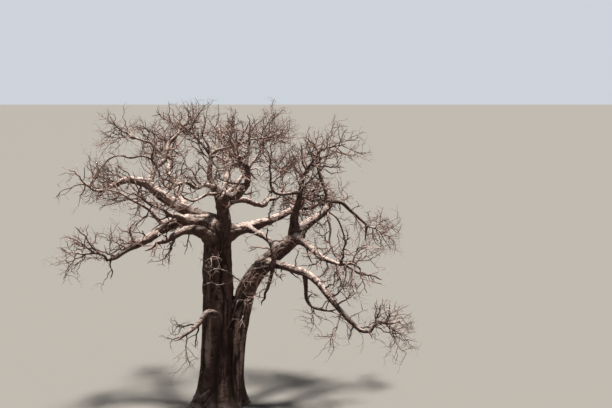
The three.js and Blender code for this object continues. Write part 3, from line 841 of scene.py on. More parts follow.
def ringed_cylinder(name: str, sides: int, rings: int) -> bpy.types.Object:
    """A closed upright cylinder of radius 1 with a ring of edges at each unit of its height.

    Args:
        name: The object's name.
        sides: Faces round it.
        rings: Rings up it, raised to the next number that two rounds of cuts can make.

    Returns:
        The object, its lowest ring at height 0.
    """
    bands = 4
    steps = max(1, math.ceil((rings - 1) / bands))
    height = bands * steps
    deselect_all()
    bpy.ops.mesh.primitive_cylinder_add(
        vertices=sides, radius=1, depth=height, end_fill_type="TRIFAN", location=(0, 0, height / 2)
    )
    piece = bpy.context.object
    piece.name = piece.data.name = name
    for cuts in (bands - 1, steps - 1):
        if not cuts:
            continue
        ends = np.empty(len(piece.data.edges) * 2, int)
        piece.data.edges.foreach_get("vertices", ends)
        low, high = corners_of(piece.data)[ends.reshape(-1, 2), 2].T
        bpy.ops.object.mode_set(mode="EDIT")
        bpy.ops.mesh.select_mode(type="EDGE")
        bpy.ops.mesh.select_all(action="DESELECT")
        bpy.ops.object.mode_set(mode="OBJECT")
        piece.data.edges.foreach_set("select", np.abs(high - low) > 0.5)  # the upright ones
        bpy.ops.object.mode_set(mode="EDIT")
        bpy.ops.mesh.subdivide(number_cuts=cuts)
        bpy.ops.object.mode_set(mode="OBJECT")
    bpy.ops.object.transform_apply(location=True, rotation=True, scale=True)
    return piece


def led_tube(name: str, line: Line, sides: int, rim: "RimShape") -> bpy.types.Object:
    """A cylinder led along a line.

    Args:
        name: The object's name.
        line: The middle line.
        sides: Faces round the tube.
        rim: Gives the radius at each place on it.

    Returns:
        The object, with its relief and its grain stored as attributes of these names.
    """
    piece = ringed_cylinder(name, sides, len(line.points))
    x, y, height = corners_of(piece.data).T
    ring = height / height.max() * (len(line.points) - 1)
    around = np.arctan2(y, x)
    on_rim = np.hypot(x, y) > 0.5  # not the middle of an end
    steps = np.arange(len(line.points))

    def at_ring(values: Array) -> Array:
        """Values of the line at each corner's ring.

        Args:
            values: A number or a vector for each point of the line.

        Returns:
            One for each corner.
        """
        if values.ndim == 1:
            return np.interp(ring, steps, values)
        return np.stack([np.interp(ring, steps, column) for column in values.T], axis=-1)

    ways, sides_at, along = unit(at_ring(line.ways)), unit(at_ring(line.sides)), at_ring(line.along)
    across = np.cross(sides_at, ways)
    radius, relief = rim(around, along, at_ring(line.radii))
    out = np.cos(around)[:, None] * sides_at + np.sin(around)[:, None] * across
    move_corners(piece.data, at_ring(line.points) + out * np.where(on_rim, radius, 0)[:, None])
    mark_corners(piece.data, "grain", grain_at(around, radius, along))
    mark_corners(piece.data, "relief", relief)
    return piece


@dataclass(frozen=True)
class RimShape:
    """The radius of a tube, all round and all along it."""

    relief: Relief | None = None
    size: float = 1.0
    seed: int = 0
    ribs: int = 0
    phase: float = 0.0
    calm_foot: float = 0.0  # the relief is low up to here
    calm_share: float = 0.35  # what is left of the relief there
    round_tip: float = 0.0
    blunt: float = 0.03  # what is left of the radius at the very tip

    def __call__(self, around: Array, along: Array, radii: Array) -> tuple[Array, Array]:
        """The radius and the relief.

        Args:
            around: Angles round the tube.
            along: Distances along it.
            radii: The plain tube's radii.

        Returns:
            The radius with its relief, and the relief alone as a share of it.
        """
        height = np.zeros_like(along)
        if self.relief:
            height = self.relief(around, along, self.size, self.seed)
            height *= np.clip((along - self.calm_foot) / (2 * self.size) + 0.5, self.calm_share, 1)
        radius = radii * (1 + height)
        if self.ribs:
            low = np.exp(-np.maximum(0, along - FOOT_DEPTH) / RIB_REACH)
            radius *= 1 + RIB_HEIGHT * low * np.cos(self.ribs * around + self.phase)
        if self.round_tip:
            left = np.clip((along.max() - along) / self.round_tip, 0, 1)
            radius *= np.sqrt(1 - (1 - left) ** 2) * (1 - self.blunt) + self.blunt
        return radius, height


def dress(piece: bpy.types.Object, slot: Slot, nodes: list[str]) -> None:
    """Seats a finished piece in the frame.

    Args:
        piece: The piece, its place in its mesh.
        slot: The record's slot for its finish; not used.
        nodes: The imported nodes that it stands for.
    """
    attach(piece, "root")
    if nodes:
        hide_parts(*nodes)
    piece.data.calc_loop_triangles()
    LOG.info("%s: %d triangles", piece.name, len(piece.data.loop_triangles))


@dataclass
class TrunkSkin:
    """The trunk and its two stems in one folded skin, with a collar where each bough leaves."""

    limbs: dict[str, Limb]
    voxel: float = 0.033
    step: float = 0.06
    sides: int = 48
    ease_rounds: int = 10
    ease_share: float = 0.5
    blend: float = 0.05  # how softly the relief of one limb gives way to the next one's
    relief_reach: float = 0.3  # how far outside a limb its relief is still worked out
    dome: float = 0.85  # the height of a column's rounded top, as a share of its radius
    collar_length: float = 2.6  # these three are shares of the bough's radius
    collar_start: float = 1.1
    collar_end: float = 0.62
    collar_fall: float = 1.5
    collar_steps: int = 6
    relief: Relief = Relief(
        lump=0.09, fold=0.13, fold_width=0.06, fold_length=6.0, folds_round=2.2, wrinkle=0.02, knots=0.15,
        knot_height=0.06,
    )
    front: str = "lobe_front"
    front_swell: float = 0.07
    calm_foot: float = 0.2  # the share of its relief that the trunk has at the ground
    calm_reach: float = 2.2  # the height where it has all of it
    seam_depth: float = 0.07
    seam_width: float = 0.09
    ground_band: float = 0.001  # points below this height lie on the flat cut
    columns: tuple[tuple[str, ...], ...] = (
        ("lobe_west", "stem_west"), ("lobe_east", "stem_east"), ("lobe_back",), ("lobe_front",),
    )

    def column_line(self, names: tuple[str, ...]) -> Line:
        """The line of one column, run on into its rounded top.

        Args:
            names: The column's lobe, and the stem that goes on from it.

        Returns:
            The line.
        """
        line = Line.through([self.limbs[name] for name in names], None, self.step)
        if self.front in names:
            line.radii += self.front_swell
        radius, way = line.radii[-1], line.ways[-1]
        count = steps_in(self.dome * radius, self.step)
        reach = np.linspace(0, self.dome * radius, count + 1)[1:, None]
        points = np.vstack([line.points, line.points[-1] + reach * way])
        return Line(points, np.concatenate([line.radii, np.full(count, radius)]))

    def collar_line(self, limb: Limb) -> Line:
        """The line of a bough's collar, which sinks into the bough at its end.

        Args:
            limb: The bough's first limb.

        Returns:
            The line.
        """
        reach = self.collar_length * limb.radii[0]
        length = limb.buried + reach
        count = steps_in(length, self.step, self.collar_steps)
        shares = np.linspace(0, min(1, length / limb.curve.length), count + 1)
        outside = np.clip((shares * limb.curve.length - limb.buried) / reach, 0, 1)
        swell = self.collar_start + (self.collar_end - self.collar_start) * outside**self.collar_fall
        return Line(limb.curve.points_at(shares), limb.radius_at(shares) * swell)

    def build(self) -> bpy.types.Object:
        """Makes the skin.

        Returns:
            The finished mesh object.
        """
        lines: list[Line] = []
        tubes: list[bpy.types.Object] = []
        for names in self.columns:
            line, lobe = self.column_line(names), self.limbs[names[0]]
            shape = RimShape(ribs=lobe.ribs, phase=lobe.phase, round_tip=self.dome * float(line.radii[-1]))
            tubes.append(led_tube("column", line, self.sides, shape))
            lines.append(line)
        held = {name for names in self.columns for name in names}
        for name, plan in LIMBS.items():
            if plan.parent in held and name not in held:
                line = self.collar_line(self.limbs[name])
                tubes.append(led_tube("collar", line, self.sides // 2, RimShape()))
                lines.append(line)
        skin = self.fuse(tubes)
        self.fold(skin, lines)
        return skin

    def fuse(self, tubes: list[bpy.types.Object]) -> bpy.types.Object:
        """Joins the columns and the collars into one eased body, cut flat at the ground.

        Args:
            tubes: Their tubes.

        Returns:
            The body.
        """
        activate(tubes[0])
        for tube in tubes:
            tube.select_set(True)
        bpy.ops.object.join()
        skin = bpy.context.object
        skin.name = skin.data.name = "trunk_bark"
        for name in ("grain", "relief"):
            skin.data.attributes.remove(skin.data.attributes[name])
        apply_modifier(skin, "REMESH", mode="VOXEL", voxel_size=self.voxel)
        apply_modifier(skin, "SMOOTH", factor=self.ease_share, iterations=self.ease_rounds)
        bpy.ops.object.mode_set(mode="EDIT")
        bpy.ops.mesh.select_all(action="SELECT")
        bpy.ops.mesh.bisect(plane_co=(0, 0, 0), plane_no=(0, 0, 1), use_fill=True, clear_inner=True)
        bpy.ops.object.mode_set(mode="OBJECT")
        return skin

    def fold(self, skin: bpy.types.Object, lines: list[Line]) -> None:
        """Raises the relief on the skin and stores what the bark's finish reads.

        Args:
            skin: The eased body.
            lines: The lines of its columns and collars.
        """
        mesh = skin.data
        places = corners_of(mesh)
        normals = np.empty(len(places) * 3)
        mesh.vertex_normals.foreach_get("vector", normals)
        sizes = np.array([line.radii.mean() for line in lines])
        depths, heights, grains = [], [], []
        for seed, line in enumerate(lines):
            depth, around, along = line.nearest(places)
            close = np.nonzero(depth < self.relief_reach)[0]
            height = np.zeros(len(places))
            height[close] = sizes[seed] * self.relief(around[close], along[close], sizes[seed], seed)
            depths.append(depth)
            heights.append(height)
            radius = np.interp(along, line.along, line.radii)
            grains.append(places if seed < len(self.columns) else grain_at(around, radius, along))
        depth, height = np.array(depths), np.array(heights)
        nearest = depth.argmin(0)
        weight = np.exp(-(depth - depth.min(0)) / self.blend)
        raised = (weight * height).sum(0) / weight.sum(0)
        raised *= self.calm_foot + (1 - self.calm_foot) * np.clip(places[:, 2] / self.calm_reach, 0, 1)
        first, second = np.sort(depth[:len(self.columns)], axis=0)[:2]
        seam = np.exp(-(((second - first) / self.seam_width) ** 2)) * (nearest < len(self.columns))
        raised -= self.seam_depth * seam
        moved = places + normals.reshape(-1, 3) * raised[:, None]
        moved[places[:, 2] < self.ground_band, 2] = 0
        moved[:, 2] = np.maximum(moved[:, 2], 0)
        move_corners(mesh, moved)
        mark_corners(mesh, "grain", np.array(grains)[nearest, np.arange(len(places))])
        mark_corners(mesh, "relief", raised / sizes[nearest])
        mesh.shade_smooth()


@dataclass
class Bough:
    """A bough with all the limbs that grow on from its tip, and the stem of the mass there."""

    names: list[str]
    limbs: dict[str, Limb]
    stem: Stem | None
    seed: int
    cell: float = 0.13  # the length of a mesh face, as a share of the foot's radius
    finest: float = 0.018
    coarsest: float = 0.036
    cell_width: float = 1.2  # of a mesh face at the foot, as a share of its length
    fewest_sides: int = 14
    most_sides: int = 56
    bare_tip: float = 0.45  # what is left of the radius at a tip that bears no mass
    bare_reach: float = 9.0  # how far back such a tip tapers, as a share of its radius
    tip_round: float = 0.9  # the length of the rounded tip, as a share of its radius
    relief: Relief = Relief()
    step: float = field(init=False)
    line: Line = field(init=False)

    def __post_init__(self) -> None:
        """Leads the middle line through the limbs."""
        foot = self.limbs[self.names[0]].radii[0]
        self.step = min(max(self.cell * foot, self.finest), self.coarsest)
        self.line = Line.through([self.limbs[name] for name in self.names], self.stem, self.step)
        if not self.stem:
            left = (self.line.along[-1] - self.line.along) / (self.bare_reach * self.line.radii[-1])
            self.line.radii *= self.bare_tip + (1 - self.bare_tip) * np.minimum(1, left)

    def build(self) -> bpy.types.Object:
        """Makes the bough.

        Returns:
            The finished mesh object.
        """
        first = self.limbs[self.names[0]]
        sides = round(2 * math.pi * first.radii[0] / (self.cell_width * self.step))
        sides = max(self.fewest_sides, min(self.most_sides, sides))
        size, tip = float(self.line.radii.mean()), self.tip_round * float(self.line.radii[-1])
        shape = RimShape(self.relief, size, self.seed, calm_foot=first.buried, round_tip=tip)
        piece = led_tube("bark_" + self.names[0], self.line, sides, shape)
        piece.data.shade_smooth()
        return piece


def boughs_of(limbs: dict[str, Limb], stems: dict[str, Stem]) -> list[Bough]:
    """Every bough that leaves the trunk, a stem or another bough.

    Args:
        limbs: All the limbs in their places.
        stems: The stems of the masses, by mass.

    Returns:
        The boughs, in the order of the limbs that start them.
    """
    follower = {plan.parent: name for name, plan in (LIMBS | SIDE_TWIGS).items() if plan.share == 1}
    stem_on = {MASSES[mass].limb: stem for mass, stem in stems.items()}
    boughs = []
    for name, plan in (LIMBS | SIDE_TWIGS).items():
        if plan.share == 1:
            continue
        names = [name]
        while names[-1] in follower:
            names.append(follower[names[-1]])
        boughs.append(Bough(names, limbs, stem_on.get(names[-1]), seed=BOUGH_SEEDS + len(boughs)))
    return boughs


class Draws:
    """Even numbers from 0 to 1, one for each seed at a time, in the order that the solids' are."""

    def __init__(self, seeds: Array) -> None:
        """Starts the draws.

        Args:
            seeds: One whole number for each twig.
        """
        self.state = seeds.astype(np.int64)
        self.next()
        self.next()

    def next(self) -> Array:
        """The next number for each seed."""
        self.state = self.state * SEED_FACTOR % SEED_RANGE
        return self.state / SEED_RANGE

    def offsets(self, count: int = 3) -> Array:
        """The next few numbers for each seed, less a half, along a last axis of their own."""
        return np.stack([self.next() - 0.5 for _ in range(count)], axis=-1)


@dataclass(frozen=True)
class Level:
    """One level of twigs, from the stem outwards. The solids have the first three."""

    places: int  # for shoots along the twig
    bends: int = 0
    length: float = 0.0
    wander: float = 0.0  # how far it strays at a bend
    outward: float = 0.0  # how far it turns away from its home's foot at a bend
    sides: int = 3
    smoothing: int = 1  # steps that each straight run becomes
    kink: float = 0.0
    stout: float = 1.0  # how much thicker it is made than the rule says
    bounded: bool = True  # whether it keeps to its mass's side of each neighbour's border
    ragged: float = 0.0  # how far short of its home's reach it may stay, as a share of it


LEVELS = (
    Level(12),
    Level(9, 3, 1.75, 0.42, 0.16, sides=6, smoothing=3, kink=0.45, stout=1.25),
    Level(4, 2, 1.05, 0.55, 0.2, sides=4, smoothing=3, kink=0.6, stout=1.6),
    Level(2, 3, 0.6, 1.1, 0.04, stout=2.0, bounded=False, ragged=0.3),
    Level(0, 2, 0.3, 0.8, 0.05, stout=2.0, bounded=False, ragged=0.2),
)


@dataclass(frozen=True)
class Rule:
    """The rule by which a twig bears finer ones, the same for every level."""

    first: float = 0.12  # the first place comes one step after this share of the twig
    last: float = 0.94
    golden: float = 137.5  # the turn round the twig from place to place
    around_play: float = 50.0
    leaving: Span = (42.0, 74.0)
    least_length: float = 0.75
    length_play: float = 0.5
    lower_length: float = 1.15
    length_fall: float = 0.4
    shortened: float = 0.6  # the share of its length that a shoot which doesn't fit is tried at again
    taper: float = 0.45
    radius_share: float = 0.62
    solid_levels: int = 2  # the levels that bear shoots in the solids too
    solid_every: int = 3  # the places at which they do
    twig_seeds: int = 7919
    place_seeds: int = 104729
    tone_seeds: int = 5
    full_deal: tuple[int, int] = (13, 101)  # how a seed settles whether a place bears a shoot
    ragged_deal: tuple[int, int] = (1, 1000)  # and how far short of its home's reach it stays


RULE = Rule()


def dealt(seed: Array, skip: int, parts: int) -> Array:
    """A share from 0 up to 1 for each seed, which the seed settles."""
    return seed // skip % parts / parts


def step_at(line: Array, share: Array) -> tuple[Array, Array, Array]:
    """The steps of twigs' lines that shares of their run fall in.

    Args:
        line: The lines, one row for each twig.
        share: The shares.

    Returns:
        Where each step starts, its reach, and the part of it before the share.
    """
    reach = share * (line.shape[1] - 1)
    step = np.minimum(reach.astype(int), line.shape[1] - 2)
    return line[:, step], line[:, step + 1] - line[:, step], (reach - step)[:, None]


class Rows:
    """Values of several things of a kind, one row for each."""

    def only(self, rows: Array) -> Self:
        """Some of the things."""
        return type(self)(*(getattr(self, value.name)[rows] for value in fields(self)))

    @classmethod
    def joined(cls, groups: list[Self]) -> Self:
        """Several groups as one."""
        columns = ([getattr(group, value.name) for group in groups] for value in fields(cls))
        return cls(*(np.concatenate(column) for column in columns))


@dataclass
class Twigs(Rows):
    """Twigs of one level."""

    points: Array  # where it bends
    line: Array  # its smooth and kinked run, with the same number of steps from bend to bend
    radius: Array
    seed: Array
    home: Array
    tone: Array


@dataclass
class Homes(Rows):
    """The spaces that twigs keep to: one for each mass and one for each spur on a bough."""

    heart: Array
    spread: Array
    foot: Array
    lift: Array
    fullness: Array
    bounded: Array


class Crown:
    """All the twigs, grown level by level."""

    near: float = 0.6  # how far beyond a home's reach limbs are looked for
    border_play: float = 0.01  # how far past the frame's box twigs may reach, as a share of its size
    batch: int = 4000  # places that are tested together

    def __init__(self, limbs: dict[str, Limb], homes: Homes) -> None:
        """Takes the places of all that the twigs keep clear of.

        Args:
            limbs: All the limbs in their places.
            homes: The spaces to keep to.
        """
        self.homes = homes
        self.masses = homes.heart[homes.bounded]
        places, radii = [], []
        for name in (*LOBES, *LIMBS):
            limb = limbs[name]
            count = math.ceil(limb.curve.length / SAMPLE_SPACING)
            shares = np.linspace(0, 1, count + 1)
            places.append(limb.curve.points_at(shares))
            radii.append(limb.radius_at(shares))
        self.sample_places, self.sample_radii = np.vstack(places), np.concatenate(radii)
        low, high = np.array(cad_box)
        play = self.border_play * (high - low)
        self.low = np.array([*(low - play)[:2], MARGIN])
        self.high = high + play

    def clear_of_limbs(self, places: Array, room: Array, home: Array) -> Array:
        """Whether places lie clear of every limb.

        Args:
            places: Points in space.
            room: How far off a limb's bark each has to be.
            home: The row of each one's home.

        Returns:
            One truth value for each place.
        """
        clear = np.ones(len(places), bool)
        for one in np.unique(home):
            rows = np.nonzero(home == one)[0]
            gap = np.linalg.norm(self.sample_places - self.homes.heart[one], axis=1)
            close = gap < self.homes.spread[one] + self.near + self.sample_radii
            if not close.any():
                continue
            for part in batches(rows, self.batch):
                away = np.linalg.norm(places[part, None] - self.sample_places[close][None], axis=2)
                clear[part] = (away > self.sample_radii[close] + room[part, None]).all(1)
        return clear

    def fits(self, points: Array, twigs: Twigs, level: Level) -> Array:
        """Whether twigs keep to their home, to the whole tree's reach and clear of the limbs.

        Args:
            points: The twigs' points after their first.
            twigs: The twigs.
            level: Their level.

        Returns:
            One truth value for each twig.
        """
        radius, home = twigs.radius, twigs.home
        heart, spread = self.homes.heart[home][:, None], self.homes.spread[home]
        own = np.linalg.norm(points - heart, axis=2)
        spare = spread * level.ragged * dealt(twigs.seed, *RULE.ragged_deal) ** 2
        fit = (own <= (spread - radius - spare)[:, None]).all(1)
        fit &= ((points >= self.low) & (points <= self.high)).all((1, 2))
        rows = np.nonzero(fit & self.homes.bounded[home])[0]
        for other in self.masses if level.bounded else ():
            away = ((points[rows] - other) ** 2).sum(2)
            between = np.linalg.norm(heart[rows] - other, axis=2)
            ours = between[:, 0] < TINY
            gap = (away - own[rows] ** 2) / np.maximum(2 * between, TINY)
            fit[rows] &= ours | (gap > MARGIN + radius[rows, None]).all(1)
        rows = np.nonzero(fit)[0]
        room = radius[rows] + MARGIN
        for step in range(points.shape[1]):
            fit[rows] &= self.clear_of_limbs(points[rows, step], room, home[rows])
            if step:
                middle = (points[rows, step] + points[rows, step - 1]) / 2
                fit[rows] &= self.clear_of_limbs(middle, room, home[rows])
        return fit

    def grow(self, shoots: Twigs, ways: Array, lengths: Array, strays: list[Array], level: Level) -> Twigs:
        """Leads twigs out and keeps those that fit, whole or shortened.

        Args:
            shoots: The twigs, with only their first points.
            ways: The directions they leave in.
            lengths: Their lengths.
            strays: How each bend strays.
            level: Their level.

        Returns:
            The twigs that fit, with all their points.
        """
        found = []
        left = np.arange(len(shoots.radius))
        for share in (1.0, RULE.shortened):
            part, heading = shoots.only(left), ways[left].copy()
            points = [part.points]
            for stray in strays:
                outward = unit(points[-1] - self.homes.foot[part.home])
                lift = self.homes.lift[part.home][:, None] * UP
                heading = heading + stray[left] * 2 * level.wander + lift
                heading = unit(heading + outward * level.outward)
                points.append(points[-1] + heading * (lengths[left] * share / level.bends)[:, None])
            part.points = part.line = np.stack(points, axis=1)
            fit = self.fits(part.points[:, 1:], part, level)
            kept = part.only(fit)
            kept.line = kinked(eased(kept.points, level.smoothing), level.kink, kept.seed)
            found.append(kept)
            left = left[~fit]
        return Twigs.joined(found)

    def bear(self, twigs: Twigs, index: int) -> Twigs:
        """The shoots that twigs of one level bear.

        Args:
            twigs: The twigs.
            index: Their level.

        Returns:
            The shoots that fit.
        """
        level, count = LEVELS[index + 1], LEVELS[index].places
        place = np.arange(count)
        share = RULE.first + (RULE.last - RULE.first) * (place + 1) / count
        seeds = twigs.seed[:, None] * RULE.twig_seeds + (place + 1) * RULE.place_seeds
        seeds = seeds % SEED_RANGE + 1
        along = unit(step_at(twigs.points, share)[1])
        start, reach, part = step_at(twigs.line, share)
        start = (start + reach * part).reshape(-1, 3)
        draws = Draws(seeds)
        around = np.radians(place * RULE.golden + RULE.around_play * draws.next())[..., None]
        leaving = np.radians(RULE.leaving[0] + (RULE.leaving[1] - RULE.leaving[0]) * draws.next())[..., None]
        side = square_to(along)
        side = side * np.cos(around) + np.cross(along, side) * np.sin(around)
        ways = along * np.cos(leaving) + side * np.sin(leaving)
        variation = RULE.least_length + RULE.length_play * draws.next()
        lengths = level.length * variation * (RULE.lower_length - RULE.length_fall * share)
        radius = twigs.radius[:, None] * (1 - (1 - RULE.taper) * share) * RULE.radius_share
        strays = [draws.offsets().reshape(-1, 3) for _ in range(level.bends)]
        tone, home = np.repeat(twigs.tone, count), np.repeat(twigs.home, count)
        full = dealt(seeds.ravel(), *RULE.full_deal) < self.homes.fullness[home]
        if index < RULE.solid_levels:
            full |= np.tile((place + 1) % RULE.solid_every == 0, len(twigs.seed))
            tone = seeds.ravel() // RULE.tone_seeds % len(TWIG_TONES)
        shoots = Twigs(start, start, radius.ravel(), seeds.ravel(), home, tone).only(full)
        strays = [stray[full] for stray in strays]
        return self.grow(shoots, ways.reshape(-1, 3)[full], lengths.ravel()[full], strays, level)


def eased(points: Array, rounds: int) -> Array:
    """Twigs' lines with points added along a smooth curve.

    Args:
        points: The lines, one row for each twig.
        rounds: Steps that each straight run becomes.

    Returns:
        The lines with more points.
    """
    if rounds == 1:
        return points
    first = 2 * points[:, :1] - points[:, 1:2]
    last = 2 * points[:, -1:] - points[:, -2:-1]
    guides = np.concatenate([first, points, last], axis=1)
    before, start, end, after = (guides[:, step:step + points.shape[1] - 1] for step in range(4))
    leave, arrive = (end - before) / 2, (after - start) / 2
    steps = [curved(start, end, leave, arrive, part) for part in np.arange(rounds) / rounds]
    line = np.stack(steps, axis=2).reshape(len(points), rounds * (points.shape[1] - 1), 3)
    return np.concatenate([line, points[:, -1:]], axis=1)


def kinked(line: Array, kink: float, seed: Array) -> Array:
    """Twigs' lines with their inner points shifted a little.

    Args:
        line: The lines, one row for each twig.
        kink: The furthest shift, as a share of the distance between points.
        seed: A whole number for each twig.

    Returns:
        The shifted lines.
    """
    shift = Draws(seed + 1).offsets(3 * line.shape[1]).reshape(line.shape)
    shift[:, [0, -1]] = 0
    reach = np.linalg.norm(line[:, 1] - line[:, 0], axis=-1)[:, None, None]
    return line + kink * reach * shift


class Spray:
    """A mesh of many pointed twigs, joined from arrays."""

    def __init__(self) -> None:
        """Starts with no twigs."""
        self.corners: list[Array] = []
        self.loops: list[Array] = []
        self.sizes: list[Array] = []
        self.tones: list[Array] = []
        self.count = 0

    def add(self, twigs: Twigs, level: Level) -> None:
        """Adds twigs as closed tubes that end in a point.

        Args:
            twigs: The twigs.
            level: Their level.
        """
        number, sides = len(twigs.radius), level.sides
        if not number:
            return
        line = twigs.line
        rings = line.shape[1] - 1
        ways = unit(np.gradient(line, axis=1))
        side = carried_sides(ways)[:, :-1, None]
        across = np.cross(side, ways[:, :-1, None])
        turn = (np.arange(sides) * 2 * math.pi / sides)[:, None]
        width = level.stout * twigs.radius[:, None] * (1 - (1 - RULE.taper) * np.arange(rings) / rings)
        rim = line[:, :-1, None] + (np.cos(turn) * side + np.sin(turn) * across) * width[..., None, None]
        corners = np.concatenate([rim.reshape(number, -1, 3), line[:, -1:]], axis=1)
        base = self.count + np.arange(number)[:, None, None] * corners.shape[1]
        ring = np.arange(rings)[:, None] * sides
        here, there = ring + np.arange(sides), ring + (np.arange(sides) + 1) % sides
        walls = np.stack([here[:-1], there[:-1], there[1:], here[1:]], axis=-1).reshape(-1, 4)
        point = np.stack([here[-1], there[-1], np.full(sides, rings * sides)], axis=-1)
        foot = here[:1, ::-1]
        for faces in (walls, point, foot):
            if not faces.size:
                continue
            self.loops.append((base + faces).ravel())
            self.sizes.append(np.full(number * len(faces), faces.shape[1]))
            self.tones.append(np.repeat(twigs.tone, len(faces)))
        self.corners.append(corners.reshape(-1, 3))
        self.count += number * corners.shape[1]

    def build(self, name: str) -> bpy.types.Object:
        """Makes the mesh of all the twigs that were added.

        Args:
            name: The object's name.

        Returns:
            The mesh object.
        """
        mesh = bpy.data.meshes.new(name)
        loops, sizes = np.concatenate(self.loops), np.concatenate(self.sizes)
        mesh.vertices.add(self.count)
        mesh.vertices.foreach_set("co", np.concatenate(self.corners).ravel())
        mesh.loops.add(len(loops))
        mesh.loops.foreach_set("vertex_index", loops.astype(np.int32))
        mesh.polygons.add(len(sizes))
        mesh.polygons.foreach_set("loop_start", np.concatenate([[0], np.cumsum(sizes)[:-1]]).astype(np.int32))
        mesh.polygons.foreach_set("material_index", np.concatenate(self.tones).astype(np.int32))
        mesh.update(calc_edges=True)
        mesh.shade_smooth()
        return in_scene(name, mesh)


@dataclass(frozen=True)
class SpurKind:
    """Side twigs of one kind: their level, how close they stand, and their sizes."""

    level: int
    seed: int
    spacing: float
    bare_share: float  # of a bough, from its foot
    bare_foot: float  # on a bough whose foot has a radius of half of thick_foot
    bare_tip: float
    least_radius: float  # of a bough that bears them
    room: float  # that their own shoots have beyond them
    length: Span
    radii: Span


SPUR_KINDS = (
    SpurKind(
        1, 5, spacing=0.9, bare_share=0.5, bare_foot=0.9, bare_tip=0.3, least_radius=0.06, room=0.85,
        length=(1.1, 2.0), radii=(0.024, 0.042),
    ),
    SpurKind(
        2, 6, spacing=0.45, bare_share=0.1, bare_foot=0.6, bare_tip=0.3, least_radius=0, room=0.45,
        length=(0.45, 1.1), radii=(0.014, 0.026),
    ),
)


@dataclass
class Spurs:
    """Side twigs of one kind, which leave the boughs along their length."""

    kind: SpurKind
    boughs: list[Bough]
    lift: float = 0.1
    outset: float = 0.7  # how far from the bough's middle they start, as a share of its radius
    thickness: float = 0.3  # as a share of the bough's
    thick_foot: float = 0.2
    leaving: Span = (48.0, 80.0)
    spacing_play: Span = (0.5, 1.5)
    owners: list[int] = field(default_factory=list)
    places: Array = field(init=False)
    ways: Array = field(init=False)
    radii: Array = field(init=False)
    lengths: Array = field(init=False)

    def __post_init__(self) -> None:
        """Settles where the spurs leave, and their directions, radii and lengths."""
        draw = np.random.default_rng(self.kind.seed)
        places, ways, radii, lengths = [], [], [], []
        for number, bough in enumerate(self.boughs):
            line, foot = bough.line, bough.limbs[bough.names[0]]
            if foot.radii[0] < self.kind.least_radius:
                continue
            bare = self.kind.bare_foot * (0.5 + foot.radii[0] / self.thick_foot)
            along = foot.buried + max(bare, self.kind.bare_share * line.along[-1])
            while along < line.along[-1] - self.kind.bare_tip:
                row = int(np.searchsorted(line.along, along))
                turn, leave = draw.uniform(0, 2 * math.pi), math.radians(draw.uniform(*self.leaving))
                across = np.cross(line.sides[row], line.ways[row])
                side = line.sides[row] * math.cos(turn) + across * math.sin(turn)
                places.append(line.points[row] + self.outset * line.radii[row] * side)
                ways.append(line.ways[row] * math.cos(leave) + side * math.sin(leave))
                radii.append(float(np.clip(self.thickness * line.radii[row], *self.kind.radii)))
                lengths.append(draw.uniform(*self.kind.length))
                self.owners.append(number)
                along += self.kind.spacing * draw.uniform(*self.spacing_play)
        self.places, self.ways = np.array(places), np.array(ways)
        self.radii, self.lengths = np.array(radii), np.array(lengths)

    def homes(self) -> Homes:
        """A space for each spur, round its middle.

        Returns:
            One home for each spur, open to its neighbours.
        """
        heart = self.places + self.ways * self.lengths[:, None] / 2
        count = len(self.radii)
        lift, fullness = np.full(count, self.lift), np.full(count, FULLNESS)
        spread = self.lengths / 2 + self.kind.room
        return Homes(heart, spread, self.places, lift, fullness, np.zeros(count, bool))

    def grow(self, crown: Crown, first_home: int) -> Twigs:
        """Grows the spurs.

        Args:
            crown: Leads and tests them.
            first_home: The row of the first spur's home.

        Returns:
            Those that fit.
        """
        level = LEVELS[self.kind.level]
        number = np.arange(len(self.radii))
        seeds = KIND_SEEDS * self.kind.seed + SPUR_SEEDS * number
        draws = Draws(seeds)
        strays = [draws.offsets() for _ in range(level.bends)]
        tone = seeds // SPUR_SEEDS % len(TWIG_TONES)
        shoots = Twigs(self.places, self.places, self.radii, seeds, first_home + number, tone)
        return crown.grow(shoots, self.ways, self.lengths, strays, level)


def grow_sprays(limbs: dict[str, Limb], stems: dict[str, Stem], boughs: list[Bough]) -> dict[str, Spray]:
    """Grows all the twigs.

    Args:
        limbs: All the limbs in their places.
        stems: The stems of the masses, by mass.
        boughs: The boughs.

    Returns:
        The meshes-to-be: one for each mass by its name, and one for each bough's spurs.
    """
    values = [
        (stem.heart, stem.plan.spread, stem.foot, stem.plan.lift, stem.plan.fullness, True)
        for stem in stems.values()
    ]
    homes = [Homes(*(np.array(column) for column in zip(*values)))]
    names = [f"spray_{name}" for name in stems]
    spurs = [Spurs(kind, boughs) for kind in SPUR_KINDS]
    for group in spurs:
        homes.append(group.homes())
        names += [f"spurs_{boughs[owner].names[0]}" for owner in group.owners]
    crown = Crown(limbs, Homes.joined(homes))
    borne = [crown.bear(stem.as_twig(home), 0) for home, stem in enumerate(stems.values())]
    first_home = len(stems)
    grown: list[Twigs] = []
    for index in range(1, len(LEVELS) - (0)):
        for group in spurs:
            if group.kind.level == index:
                borne.append(group.grow(crown, first_home))
                first_home += len(group.owners)
        grown.append(Twigs.joined(borne))
        if index < len(LEVELS) - 1:
            borne = [crown.bear(grown[-1], index)]
        LOG.info("%d twigs of %.2f m", len(grown[-1].radius), LEVELS[index].length)
    keys = {name: number for number, name in enumerate(dict.fromkeys(names))}
    group_of = np.array([keys[name] for name in names])
    sprays = {}
    for name, key in keys.items():
        spray = Spray()
        for twigs, level in zip(grown, LEVELS[1:]):
            spray.add(twigs.only(group_of[twigs.home] == key), level)
        if spray.count:
            sprays[name] = spray
    return sprays


